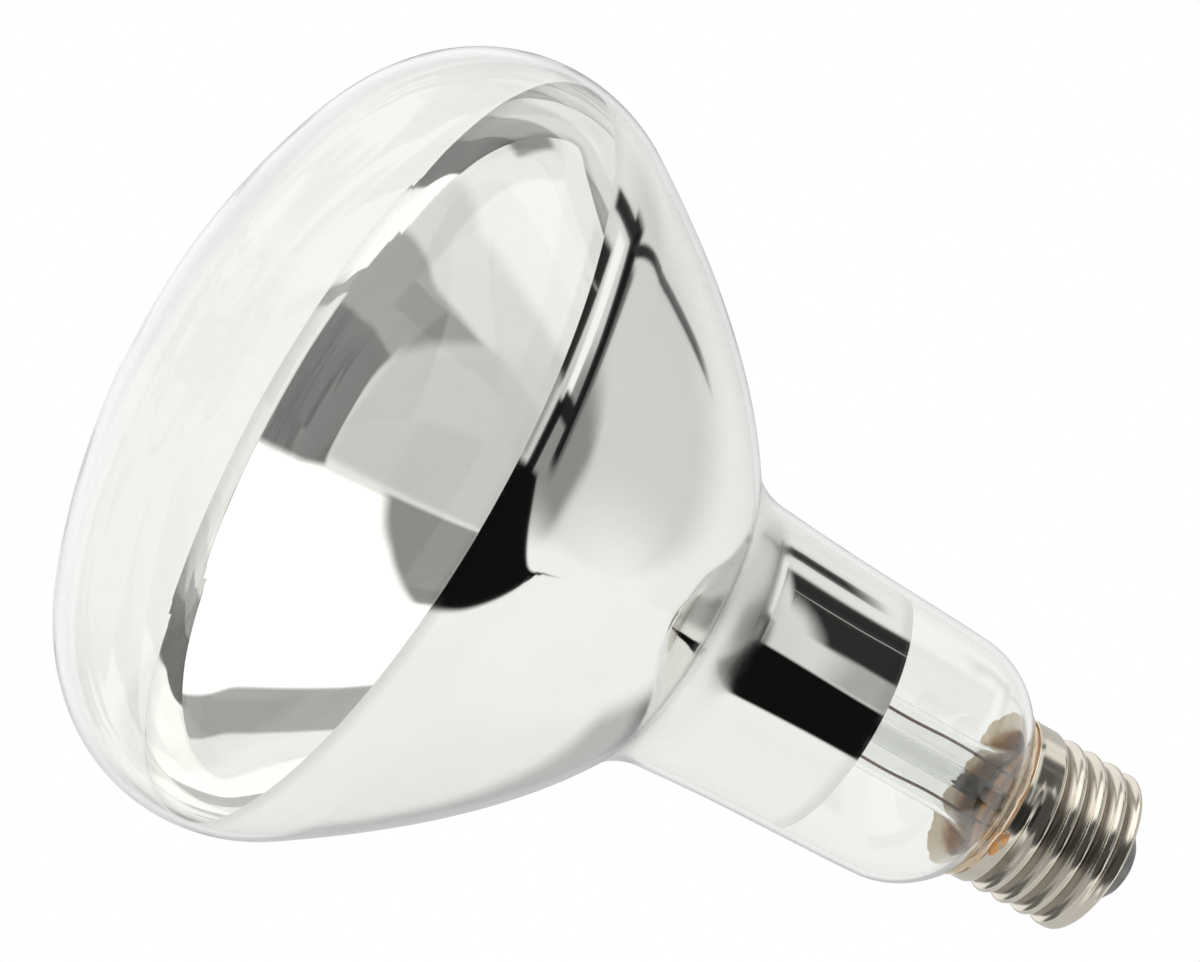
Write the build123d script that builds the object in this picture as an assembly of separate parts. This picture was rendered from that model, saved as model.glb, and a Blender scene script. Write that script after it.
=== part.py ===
from build123d import *
import math
import os

# Reflector heat lamp with a screw cap. Millimetres. The origin is the middle of the crowned face, on which
# the lamp stands, and +Z runs along the axis towards the cap. Every section is drawn with x = radius and
# y = height, then turned round the Z axis.

# Blown glass bulb
bulb_diameter = 125.0
glass_wall = 1.0
face_radius = 112.0
rim_radius = 25.8
focal_length = 17.7
neck_taper = 3.3
neck_top_radius = 20.1
neck_top_height = 133.5
neck_fillet = 13.0
shoulder_radius = 15.0
collar_radius = 11.0
collar_fillet = 2.0
collar_length = 1.9

# Mirror layer on the inside of the glass
mirror_clearance = 0.05
mirror_thickness = 0.15
mirror_front_rise = 1.3
neck_clear_length = 15.5

# Glass stem: flare tube with a pressed end, exhaust tube and support rod
stem_radius = 6.1
stem_wall = 0.8
flare_length = 11.1
flare_clearance = 0.1
flare_rim = 0.9
press_width = 15.0
press_thickness = 4.6
press_length = 10.0
press_shoulder = 5.0
exhaust_radius = 1.7
exhaust_wall = 0.5
exhaust_rise = 7.4
rod_radius = 1.4
rod_length = 12.0
button_radius = 3.2
button_rise = 8.6
button_thickness = 3.4

# Lead wires: nickel below the press, an alloy length sealed in it, copper above it
lead_spacing = 8.5
inner_lead_radius = 0.5
seal_wire_radius = 0.35
outer_lead_radius = 0.25
lead_overlap = 2.0
lead_knee_drop = 4.0
lead_bend = 2.0
crimp_radius = 0.8
crimp_length = 2.6

# Filament ring and its support wires
filament_ring_radius = 11.0
filament_coil_radius = 0.8
filament_gap_angle = 60.0
filament_gap_direction = -90.0
filament_tail_radius = 0.2
support_count = 5
support_wire_radius = 0.2
support_clearance = 0.2
support_bend = 1.0
pigtail_turn = 285.0

# Screw cap
shell_radius = 13.2
shell_wall = 0.35
seal_depth = 3.1
skirt_length = 3.0
thread_pitch = 3.629
thread_depth = 1.05
thread_fill = 0.9
thread_break = 0.06
thread_start_angle = -125.0
thread_turns = 4.0
thread_margin = 0.4
lip_radius = 1.8
opening_radius = 9.2

# Insulator, centre contact, cement and solder
insulator_depth = 2.0
insulator_clearance = 0.15
insulator_end_radius = 5.1
insulator_edge = 0.8
contact_rise = 4.7
contact_radius = 4.0
contact_proud = 0.25
contact_thickness = 0.7
eyelet_radius = 1.6
eyelet_bore = 0.9
eyelet_foot = 0.4
solder_depth = 2.5
cement_depth = 5.7
side_wire_clearance = 0.1
side_wire_rise = 1.0
side_wire_reach = 0.4
side_wire_bend = 0.6
side_contact_angle = -66.0
side_solder_radius = 2.0
side_solder_proud = 0.6


def turned(section):
    """The solid of revolution of a section drawn with x = radius and y = height."""
    return revolve(Plane.XZ * section, Axis.Z)


def arc(centre, radius, start, end):
    """Arc of the given circle from one angle to another, in degrees."""
    return CenterArc(centre, radius, start, end - start)


def band(low, high, inner, outer):
    """Upright ring between two heights and two radii."""
    ring = Circle(outer) - Circle(inner) if inner > 0 else Circle(outer)
    return Pos(0, 0, low) * extrude(ring, high - low)


def rod(radius, low, high, x=0.0):
    """Upright round bar at the given x."""
    return Pos(x, 0, low) * extrude(Circle(radius), high - low)


def polar(radius, degrees):
    """Point of a circle about the axis."""
    angle = math.radians(degrees)
    return radius * math.cos(angle), radius * math.sin(angle)


# Front of the bulb: the face's sphere, the rim's rounding and the paraboloid all touch without a corner.
rim_centre_x = bulb_diameter / 2 - rim_radius
rim_centre_y = face_radius - math.sqrt((face_radius - rim_radius) ** 2 - rim_centre_x ** 2)
crown_angle = math.degrees(math.asin(rim_centre_x / (face_radius - rim_radius)))
rim_end = 30.0
for step in range(40):
    widest = rim_centre_x + rim_radius * math.cos(math.radians(rim_end))
    rim_end = math.degrees(math.atan2(2 * focal_length, widest))
mirror_edge_radius = rim_centre_x + rim_radius * math.cos(math.radians(rim_end))
mirror_edge_height = rim_centre_y + rim_radius * math.sin(math.radians(rim_end))
vertex_height = mirror_edge_height + mirror_edge_radius ** 2 / (4 * focal_length)

# Heights of the mount, worked up from the filament at the mirror's focus
filament_height = vertex_height - focal_length
button_height = filament_height + button_rise
press_bottom = button_height + rod_length
lead_knee_height = press_bottom - lead_knee_drop
press_top = press_bottom + press_length
stem_floor = press_top + press_shoulder

# Ends of the mirror layer
mirror_front_height = rim_centre_y + mirror_front_rise
mirror_back_height = neck_top_height - neck_clear_length


def bowl_point(radius, inset):
    """Point of the paraboloid's section at a radius, moved inwards along the normal."""
    height = vertex_height - radius ** 2 / (4 * focal_length)
    length = math.hypot(2 * focal_length, radius)
    return radius - inset * radius / length, height - inset * 2 * focal_length / length


def bowl_tangent(radius):
    """Direction of the paraboloid's section at a radius, towards the neck."""
    return (-2 * focal_length, radius)


# Neck: a slim cone, joined to the paraboloid by one concave arc that touches both
taper = math.radians(neck_taper)
neck_out = (math.cos(taper), math.sin(taper))


def neck_gap(point):
    """Distance of a point outside the neck's cone."""
    return (point[0] - neck_top_radius) * neck_out[0] + (point[1] - neck_top_height) * neck_out[1]


inner_guess, outer_guess = neck_top_radius, mirror_edge_radius
for step in range(60):
    bowl_end_radius = (inner_guess + outer_guess) / 2
    if neck_gap(bowl_point(bowl_end_radius, -neck_fillet)) > neck_fillet:
        outer_guess = bowl_end_radius
    else:
        inner_guess = bowl_end_radius
fillet_centre = bowl_point(bowl_end_radius, -neck_fillet)
bowl_end = bowl_point(bowl_end_radius, 0)
fillet_start = math.degrees(math.atan2(bowl_end[1] - fillet_centre[1], bowl_end[0] - fillet_centre[0])) % 360
fillet_end = 180 + neck_taper

# Shoulder: convex arc from the neck's top, then a small concave arc into the collar inside the cap
shoulder_centre = (
    neck_top_radius - shoulder_radius * neck_out[0],
    neck_top_height - shoulder_radius * neck_out[1],
)
collar_centre_x = collar_radius + collar_fillet
collar_reach = collar_centre_x - shoulder_centre[0]
collar_centre_y = shoulder_centre[1] + math.sqrt((shoulder_radius + collar_fillet) ** 2 - collar_reach ** 2)
shoulder_end = math.degrees(math.atan2(collar_centre_y - shoulder_centre[1], collar_reach))

# Heights of the seal and of the cap, worked up from the foot of the collar
seal_height = collar_centre_y + collar_length
exhaust_tip = seal_height + exhaust_rise
rim_height = seal_height - seal_depth
cement_top = rim_height + cement_depth
thread_start_height = rim_height + skirt_length
lip_start_height = thread_start_height + thread_turns * thread_pitch + thread_margin
insulator_bottom = lip_start_height - insulator_depth
contact_height = lip_start_height + lip_radius + contact_rise

# Flare: one arc that leaves the stem tube without a corner and reaches the collar's inside at the seal
flare_reach = collar_radius - glass_wall - flare_clearance - stem_radius
flare_start = seal_height - flare_length
flare_radius = (flare_reach ** 2 + flare_length ** 2) / (2 * flare_reach)

# Side wire: close to the collar beside the thread, close to the shell at the skirt's rim
side_wire_inside = collar_radius + side_wire_clearance + outer_lead_radius
side_wire_outside = shell_radius - shell_wall - side_wire_clearance - outer_lead_radius


def bulb_body(inset):
    """Everything inside the bulb's outline, moved inwards by inset, as one solid up to the seal."""
    stations = [
        mirror_edge_radius + (bowl_end_radius - mirror_edge_radius) * share for share in (0, 0.25, 0.5, 0.75, 1)
    ]
    crown = arc((0, face_radius), face_radius - inset, -90, crown_angle - 90)
    rim = arc((rim_centre_x, rim_centre_y), rim_radius - inset, crown_angle - 90, rim_end)
    bowl = Spline(
        *[bowl_point(radius, inset) for radius in stations],
        tangents=(bowl_tangent(stations[0]), bowl_tangent(stations[-1])),
    )
    waist = arc(fillet_centre, neck_fillet + inset, fillet_start, fillet_end)
    shoulder = arc(shoulder_centre, shoulder_radius - inset, neck_taper, shoulder_end)
    neck = Line(waist @ 1, shoulder @ 0)
    collar = arc((collar_centre_x, collar_centre_y), collar_fillet + inset, shoulder_end + 180, 180)
    top = (collar_radius - inset, seal_height)
    closing = Polyline(collar @ 1, top, (0, seal_height), (0, inset))
    return turned(make_face([crown, rim, bowl, waist, neck, shoulder, collar, closing]))


def glass_envelope():
    """Blown bulb, open only at the end of its collar."""
    return bulb_body(0) - bulb_body(glass_wall)


def mirror_coating():
    """Metal layer on the glass, from the widest part back into the neck."""
    inset = glass_wall + mirror_clearance
    layer = bulb_body(inset) - bulb_body(inset + mirror_thickness)
    return layer & band(mirror_front_height, mirror_back_height, 0, bulb_diameter)


def flare_point(offset, height):
    """Where the flare's arc, thickened by offset towards the axis, reaches a height."""
    radius = flare_radius + offset
    rise = height - flare_start
    return (stem_radius + flare_radius - math.sqrt(radius ** 2 - rise ** 2), height)


def lead_holes(side):
    """Space of one lead wire inside the press: nickel, sealed length and copper, end to end."""
    x = side * lead_spacing / 2
    low = rod(inner_lead_radius, press_bottom, press_bottom + lead_overlap, x)
    middle = rod(seal_wire_radius, press_bottom + lead_overlap, stem_floor - lead_overlap, x)
    high = rod(outer_lead_radius, stem_floor - lead_overlap, stem_floor, x)
    return low, middle, high


def stem_flare():
    """Glass tube with a trumpet rim on the bulb's collar and a flat pressed end round the leads."""
    rim_top = seal_height + flare_rim
    outer_end = flare_point(0, seal_height)
    inner_end = flare_point(stem_wall, rim_top)
    centre = (stem_radius + flare_radius, flare_start)
    outer_angle = math.degrees(math.atan2(outer_end[1] - centre[1], outer_end[0] - centre[0]))
    inner_angle = math.degrees(math.atan2(inner_end[1] - centre[1], inner_end[0] - centre[0]))
    outside = arc(centre, flare_radius, 180, outer_angle)
    inside = arc(centre, flare_radius + stem_wall, inner_angle, 180)
    rim = Polyline(outside @ 1, (collar_radius, seal_height), (collar_radius, rim_top), inside @ 0)
    bore = Line(inside @ 1, (stem_radius - stem_wall, stem_floor))
    wall = Line((stem_radius, stem_floor), outside @ 0)
    floor = Line(bore @ 1, wall @ 0)
    tube = turned(make_face([outside, rim, inside, bore, floor, wall]))
    flat = RectangleRounded(press_width, press_thickness, press_thickness / 2 - 0.1)
    shaped = loft([Pos(0, 0, press_top) * flat, Pos(0, 0, stem_floor) * Circle(stem_radius)])
    press = Pos(0, 0, press_bottom) * extrude(flat, press_top - press_bottom)
    stem = tube + shaped + press
    for side in (-1, 1):
        for hole in lead_holes(side):
            stem -= hole
    return stem


def exhaust_tube():
    """Thin glass tube on the stem's floor, drawn off to a closed round tip inside the cap."""
    outer = rod(exhaust_radius, stem_floor, exhaust_tip - exhaust_radius)
    outer += Pos(0, 0, exhaust_tip - exhaust_radius) * Sphere(exhaust_radius)
    bore = rod(exhaust_radius - exhaust_wall, stem_floor, exhaust_tip - 2 * exhaust_radius)
    return outer - bore


def support_wire(index):
    """Molybdenum wire from the glass button to a pigtail round the filament coil."""
    loop = filament_coil_radius + support_clearance + support_wire_radius
    start = (button_radius * 0.4, button_height)
    knee = (filament_ring_radius - loop, button_height)
    reach = Line(start, (knee[0] - support_bend, knee[1]))
    bend = arc((knee[0] - support_bend, knee[1] - support_bend), support_bend, 90, 0)
    drop = Line(bend @ 1, (knee[0], filament_height))
    pigtail = arc((filament_ring_radius, filament_height), loop, 180, 180 + pigtail_turn)
    path = Plane.XZ * (Curve() + [reach, bend, drop, pigtail])
    section = Plane((start[0], 0, start[1]), x_dir=(0, 1, 0), z_dir=(1, 0, 0)) * Circle(support_wire_radius)
    spacing = (360 - filament_gap_angle) / support_count
    angle = filament_gap_direction + filament_gap_angle / 2 + spacing * (index + 0.5)
    return Rot(0, 0, angle) * sweep(section, path=path)


def support_rod():
    """Glass rod under the press, ending in the button that holds the support wires."""
    edge = button_thickness / 2
    low = button_height - edge
    high = button_height + edge
    button = fillet(band(low, high, 0, button_radius).edges().filter_by(GeomType.CIRCLE), edge * 0.8)
    glass = rod(rod_radius, button_height, press_bottom) + button
    for index in range(support_count):
        glass -= support_wire(index)
    return glass


def filament_end(side):
    """Angle of the filament's end on one side, in degrees."""
    return filament_gap_direction + side * filament_gap_angle / 2


def tail(side, radius, length):
    """Straight bar that carries on from one end of the filament ring, along its tangent."""
    angle = filament_end(side)
    x, y = polar(filament_ring_radius, angle)
    along = polar(1, angle - side * 90)
    end = Plane((x, y, filament_height), z_dir=(along[0], along[1], 0))
    return end * extrude(Circle(radius), length)


def filament():
    """Tungsten coil as its outer form: an open ring at the mirror's focus, with a tail at each end."""
    first = filament_end(1)
    x, y = polar(filament_ring_radius, first)
    along = polar(1, first + 90)
    ring = CenterArc((0, 0), filament_ring_radius, first, 360 - filament_gap_angle)
    path = Pos(0, 0, filament_height) * ring
    section = Plane((x, y, filament_height), z_dir=(along[0], along[1], 0)) * Circle(filament_coil_radius)
    return sweep(section, path=path) + tail(1, filament_tail_radius, crimp_length) + tail(
        -1, filament_tail_radius, crimp_length)


def inner_lead(side):
    """Nickel wire from the press to one end of the filament, with the crimp that grips its tail."""
    angle = filament_end(side)
    x, y = polar(filament_ring_radius, angle)
    along = polar(1, angle - side * 90)
    middle = crimp_length / 2
    foot = (x + along[0] * middle, y + along[1] * middle, filament_height)
    top = (side * lead_spacing / 2, 0, press_bottom + lead_overlap)
    knee = (top[0], 0, lead_knee_height)
    path = FilletPolyline(top, knee, foot, radius=lead_bend)
    wire = sweep(Pos(*top) * Circle(inner_lead_radius), path=path)
    return wire + tail(side, crimp_radius, crimp_length) - tail(side, filament_tail_radius, crimp_length)


def seal_wire(side):
    """Alloy length of a lead, sealed in the press."""
    return lead_holes(side)[1]


def centre_lead():
    """Copper wire from the press past the exhaust tip to the solder of the centre contact."""
    x = -lead_spacing / 2
    start = (x, 0, stem_floor - lead_overlap)
    beside = (x, 0, exhaust_tip - exhaust_radius)
    above = (0, 0, exhaust_tip + 3 * exhaust_radius)
    end = (0, 0, contact_height - contact_proud)
    path = FilletPolyline(start, beside, above, end, radius=lead_bend)
    return sweep(Pos(*start) * Circle(outer_lead_radius), path=path)


def side_lead():
    """Copper wire from the press, over the flare's rim and down between glass and shell to the rim."""
    x = lead_spacing / 2
    over = seal_height + flare_rim + side_wire_rise
    start = (x, 0, stem_floor - lead_overlap)
    outside = (*polar(side_wire_inside, side_contact_angle), over)
    beside = (*polar(side_wire_inside, side_contact_angle), thread_start_height - thread_pitch / 2)
    end = (*polar(side_wire_outside, side_contact_angle), rim_height - side_wire_reach)
    path = FilletPolyline(start, (x, 0, over), outside, beside, end, radius=side_wire_bend)
    return sweep(Pos(*start) * Circle(outer_lead_radius), path=path)


def groove(inset):
    """Rolled groove of the thread: two equal arcs each side of its floor, swept along the helix.

    The groove of an inset form runs past both ends by the inset, so that a wall closes them.
    """
    half = thread_fill * thread_pitch / 2
    bow = (half ** 2 + thread_depth ** 2) / (4 * thread_depth)
    turn = math.degrees(math.asin(half / (2 * bow)))
    crest = bow - inset
    root = bow + inset
    lift = thread_break
    upper = arc((lift - bow, half), crest, 0, -turn)
    floor = arc((lift - thread_depth + bow, 0), root, 180 - turn, 180 + turn)
    lower = arc((lift - bow, -half), crest, turn, 0)
    back = 2 * lift + inset
    closing = Polyline(lower @ 1, (back, -half), (back, half), upper @ 0)
    profile = make_face([upper, floor, lower, closing])
    start = Plane((shell_radius, 0, 0), x_dir=(1, 0, 0), z_dir=(0, -1, 0))
    over = math.degrees(inset / shell_radius)
    rise = thread_pitch * (thread_turns + 2 * over / 360)
    helix = Helix(thread_pitch, rise, shell_radius)
    rolled = sweep(start * profile, path=helix, is_frenet=True)
    foot = thread_start_height - thread_pitch * over / 360
    return Pos(0, 0, foot) * Rot(0, 0, thread_start_angle - over) * rolled


def shell_body(inset):
    """Everything inside the cap's shell, moved inwards by inset, from the skirt's rim to the lip."""
    lip = arc((shell_radius - lip_radius, lip_start_height), lip_radius - inset, 0, 90)
    top = lip @ 1
    low = (shell_radius - inset, rim_height)
    outline = [Line(low, lip @ 0), lip, Polyline(top, (0, top.Y), (0, rim_height), low)]
    return turned(make_face(outline))


def cap_shell():
    """Thin rolled brass shell with a round thread and a turned-in lip."""
    solid = shell_body(0) - groove(0)
    hollow = shell_body(shell_wall) - groove(shell_wall)
    opening = band(rim_height, contact_height, 0, opening_radius)
    return solid - hollow - opening


def cap_insulator():
    """Black glass poured into the shell's end, with a cone that carries the centre contact."""
    lip_top = lip_start_height + lip_radius
    inside = shell_radius - thread_depth - shell_wall - insulator_clearance
    seat = lip_top - shell_wall
    end = contact_height - contact_proud
    outline = Polyline(
        (0, insulator_bottom),
        (inside, insulator_bottom),
        (inside, lip_start_height),
        (shell_radius - lip_radius, seat),
        (opening_radius, seat),
        (opening_radius, lip_top),
        (insulator_end_radius, end),
        (0, end),
        (0, insulator_bottom),
    )
    body = turned(make_face(outline))
    rim = body.edges().filter_by(GeomType.CIRCLE).sort_by(Axis.Z)[-1]
    return fillet(rim, insulator_edge) - contact_form()


def contact_form():
    """The centre contact without its bore."""
    flange = band(contact_height - contact_thickness, contact_height, 0, contact_radius)
    return flange + band(insulator_bottom - eyelet_foot, contact_height, 0, eyelet_radius)


def centre_contact():
    """Brass eyelet: a flat disc on the insulator's end and a tube down through it."""
    return contact_form() - rod(eyelet_bore, insulator_bottom - eyelet_foot, contact_height)


def centre_solder():
    """Solder that fills the eyelet's mouth round the end of the centre lead."""
    return rod(eyelet_bore, contact_height - solder_depth, contact_height - 0.1) - centre_lead()


def side_solder():
    """Flat drop of solder on the skirt's rim, over the end of the side lead."""
    x, y = polar(shell_radius, side_contact_angle)
    drop = Pos(x, y, rim_height) * Rot(0, 0, side_contact_angle)
    outer = drop * scale(Sphere(side_solder_radius), by=(side_solder_proud / side_solder_radius, 1, 1))
    outer &= band(rim_height, rim_height + side_solder_radius, shell_radius, shell_radius + side_solder_radius)
    under = drop * scale(Sphere(side_solder_radius), by=(1, 0.6, side_solder_proud / side_solder_radius))
    under &= band(rim_height - side_solder_radius, rim_height, collar_radius, shell_radius + side_solder_radius)
    return outer + under - bulb_body(0) - side_lead()


def basing_cement():
    """Ring of cement between the glass collar and the shell's skirt."""
    inner = collar_radius - 2 * glass_wall
    outer = shell_radius - shell_wall
    ring = band(rim_height, thread_start_height - thread_pitch / 2, inner, outer)
    ring += band(rim_height, cement_top, inner, outer - thread_depth)
    ring -= bulb_body(0)
    ring -= band(seal_height, seal_height + flare_rim, 0, collar_radius)
    return ring - side_lead()


pieces = {
    "glass_envelope": glass_envelope(),
    "mirror_coating": mirror_coating(),
    "stem_flare": stem_flare(),
    "exhaust_tube": exhaust_tube(),
    "support_rod": support_rod(),
    "filament": filament(),
    "inner_lead_left": inner_lead(-1),
    "inner_lead_right": inner_lead(1),
    "seal_wire_left": seal_wire(-1),
    "seal_wire_right": seal_wire(1),
    "centre_lead": centre_lead(),
    "side_lead": side_lead(),
    "basing_cement": basing_cement(),
    "cap_shell": cap_shell(),
    "cap_insulator": cap_insulator(),
    "centre_contact": centre_contact(),
    "centre_solder": centre_solder(),
    "side_solder": side_solder(),
}
for index in range(support_count):
    pieces["support_wire_" + str(index + 1)] = support_wire(index)

os.makedirs("parts", exist_ok=True)
for node, shape in pieces.items():
    export_step(shape, "parts/" + node + ".step")
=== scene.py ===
"""Looks of a reflector heat lamp: blown glass bulb, mirror layer, glass stem, filament mount and screw cap.

Lengths are metres. The lamp stands on its crowned face and its axis is +Z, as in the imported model.
"""

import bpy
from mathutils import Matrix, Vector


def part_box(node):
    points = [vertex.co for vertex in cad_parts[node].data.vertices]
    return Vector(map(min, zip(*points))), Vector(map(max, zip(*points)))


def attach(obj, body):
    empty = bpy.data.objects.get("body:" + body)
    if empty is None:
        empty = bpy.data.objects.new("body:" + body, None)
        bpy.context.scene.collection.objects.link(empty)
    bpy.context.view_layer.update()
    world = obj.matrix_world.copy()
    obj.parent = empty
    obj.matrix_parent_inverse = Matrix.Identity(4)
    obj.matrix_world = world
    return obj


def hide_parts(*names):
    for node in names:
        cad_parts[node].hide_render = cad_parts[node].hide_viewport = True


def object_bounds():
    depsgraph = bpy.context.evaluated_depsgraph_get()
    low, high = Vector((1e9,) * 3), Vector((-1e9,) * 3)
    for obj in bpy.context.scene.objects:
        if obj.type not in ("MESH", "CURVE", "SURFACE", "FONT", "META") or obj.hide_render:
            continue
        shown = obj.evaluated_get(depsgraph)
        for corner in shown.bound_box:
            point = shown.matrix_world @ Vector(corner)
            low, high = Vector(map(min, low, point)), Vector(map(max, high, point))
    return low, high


bl_info = {
    "name": "Reflector Heat Lamp",
    "version": (1, 0, 0),
    "blender": (4, 5, 0),
    "location": "3D View > Sidebar > Lamp",
    "description": "Builds a reflector heat lamp with its glass, mirror layer, filament mount and screw cap",
    "category": "Object",
}

import math

import bmesh
import bpy
import numpy as np
from mathutils import Matrix

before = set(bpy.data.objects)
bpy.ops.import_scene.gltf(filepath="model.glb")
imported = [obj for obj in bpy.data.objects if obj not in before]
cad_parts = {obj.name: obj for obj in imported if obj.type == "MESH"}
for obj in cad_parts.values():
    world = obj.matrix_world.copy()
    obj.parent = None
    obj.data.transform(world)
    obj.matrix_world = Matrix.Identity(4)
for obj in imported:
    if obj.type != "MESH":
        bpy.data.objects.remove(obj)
cad_low, cad_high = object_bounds()
glass_low, glass_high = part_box("glass_envelope")
shell_low, shell_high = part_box("cap_shell")
filament_low, filament_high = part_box("filament")

BODY = "root"
MM = 0.001
TURN = 2 * math.pi
GLASS_IOR = 1.5
BLACK_GLASS_IOR = 1.52
CEMENT_SHADOW = (0.12, 0.07, 0.04)
LEAD_OVERLAP = 2 * MM


def length(name, description, default):
    """A property that holds a length in metres."""
    return bpy.props.FloatProperty(
        name=name, description=description, default=default, subtype="DISTANCE", unit="LENGTH", precision=5
    )


def bearing(name, description, default):
    """A property that holds an angle, given here in degrees."""
    return bpy.props.FloatProperty(
        name=name, description=description, default=math.radians(default), subtype="ANGLE", unit="ROTATION"
    )


def colour(name, description, default):
    """A property that holds a linear colour."""
    return bpy.props.FloatVectorProperty(
        name=name, description=description, default=default, subtype="COLOR", size=3, min=0, max=1
    )


def share(name, description, default):
    """A property that holds a share from 0 to 1."""
    return bpy.props.FloatProperty(
        name=name, description=description, default=default, subtype="FACTOR", min=0, max=1
    )


class BulbSettings(bpy.types.PropertyGroup):
    """Sizes and colours of the blown bulb and its mirror layer."""

    diameter: length("Diameter", "Widest part of the bulb", glass_high.x - glass_low.x)
    wall: length("Wall", "Thickness of the glass", 1.0 * MM)
    face_radius: length("Face radius", "Radius of the crowned face", 112 * MM)
    rim_radius: length("Rim radius", "Rounding between face and bowl", 25.8 * MM)
    focal_length: length("Focal length", "Focal length of the bowl's paraboloid", 17.7 * MM)
    neck_taper: bearing("Neck taper", "Slope of the neck's cone", 3.3)
    neck_radius: length("Neck radius", "Neck at its top", 20.1 * MM)
    neck_height: length("Neck height", "Top of the neck's cone", 133.5 * MM)
    waist_radius: length("Waist radius", "Hollow rounding between bowl and neck", 13 * MM)
    shoulder_radius: length("Shoulder radius", "Rounding from the neck into the cap", 15 * MM)
    collar_radius: length("Collar radius", "Collar that sits inside the cap", 11 * MM)
    collar_fillet: length("Collar fillet", "Hollow rounding between shoulder and collar", 2 * MM)
    seal_height: length("Seal height", "Where stem and bulb are fused", glass_high.z)
    ripple: length("Ripple", "Unevenness of the blown glass", 0.05 * MM)
    neck_hollow: length("Neck hollow", "How far the neck is drawn in halfway along", 0.44 * MM)
    hollow_start: length("Hollow start", "Height where the neck starts to draw in", 80 * MM)
    mirror_gap: length("Mirror gap", "Room between glass and mirror layer", 0.05 * MM)
    mirror_thickness: length("Mirror thickness", "Thickness of the mirror layer", 0.15 * MM)
    mirror_front: length("Mirror front", "Height where the mirror layer starts", 35.3 * MM)
    mirror_back: length("Mirror back", "Height where the mirror layer ends in the neck", 118 * MM)
    glass_tint: colour("Glass tint", "Colour of the clear glass", (0.942, 0.948, 0.928))
    mirror_tint: colour("Mirror tint", "Colour of the mirror layer", (0.965, 0.972, 0.955))


class MountSettings(bpy.types.PropertyGroup):
    """Sizes and colours of the stem, the lead wires and the filament."""

    stem_radius: length("Stem radius", "Outside of the stem tube", 6.1 * MM)
    stem_wall: length("Stem wall", "Thickness of the stem tube", 0.8 * MM)
    flare_length: length("Flare length", "Height of the trumpet at the stem's end", 11.1 * MM)
    flare_rim: length("Flare rim", "Glass that stands over the seal", 0.9 * MM)
    press_width: length("Press width", "Width of the pressed end", 15 * MM)
    press_thickness: length("Press thickness", "Thickness of the pressed end", 4.6 * MM)
    press_length: length("Press length", "Height of the pressed end", 10 * MM)
    press_shoulder: length("Press shoulder", "Height over which the press turns round", 5 * MM)
    exhaust_radius: length("Exhaust radius", "Outside of the exhaust tube", 1.7 * MM)
    exhaust_wall: length("Exhaust wall", "Thickness of the exhaust tube", 0.5 * MM)
    exhaust_rise: length("Exhaust rise", "Tip of the exhaust tube above the seal", 7.4 * MM)
    rod_radius: length("Rod radius", "Glass rod that carries the button", 1.4 * MM)
    rod_length: length("Rod length", "From the press to the button", 12 * MM)
    button_radius: length("Button radius", "Glass button that holds the support wires", 3.2 * MM)
    button_thickness: length("Button thickness", "Height of the button", 3.4 * MM)
    button_rise: length("Button rise", "Button above the filament", 8.6 * MM)
    ring_radius: length("Ring radius", "Radius of the filament's ring", 11 * MM)
    ring_gap: bearing("Ring gap", "Opening of the filament's ring", 60)
    coil_radius: length("Coil radius", "Outside of the filament's coil", 0.8 * MM)
    coil_pitch: length("Coil pitch", "Distance between turns of the coil", 0.34 * MM)
    coil_wire: length("Coil wire", "Radius of the tungsten wire", 0.1 * MM)
    supports: bpy.props.IntProperty(name="Supports", description="Number of support wires", default=5, min=1)
    support_radius: length("Support radius", "Radius of a support wire", 0.2 * MM)
    lead_spacing: length("Lead spacing", "Between the two lead wires", 8.5 * MM)
    inner_lead: length("Inner lead", "Radius of the nickel lead wires", 0.5 * MM)
    outer_lead: length("Outer lead", "Radius of the copper lead wires", 0.25 * MM)
    stem_tint: colour("Stem tint", "Colour of the stem glass", (0.985, 0.99, 0.985))
    tungsten: colour("Tungsten", "Colour of the filament", (0.21, 0.21, 0.22))
    molybdenum: colour("Molybdenum", "Colour of the support wires", (0.38, 0.38, 0.39))
    nickel_wire: colour("Nickel wire", "Colour of the inner leads", (0.58, 0.55, 0.50))
    seal_alloy: colour("Seal alloy", "Colour of the sealed lengths", (0.45, 0.16, 0.09))
    copper: colour("Copper", "Colour of the outer leads", (0.20, 0.12, 0.08))


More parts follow.
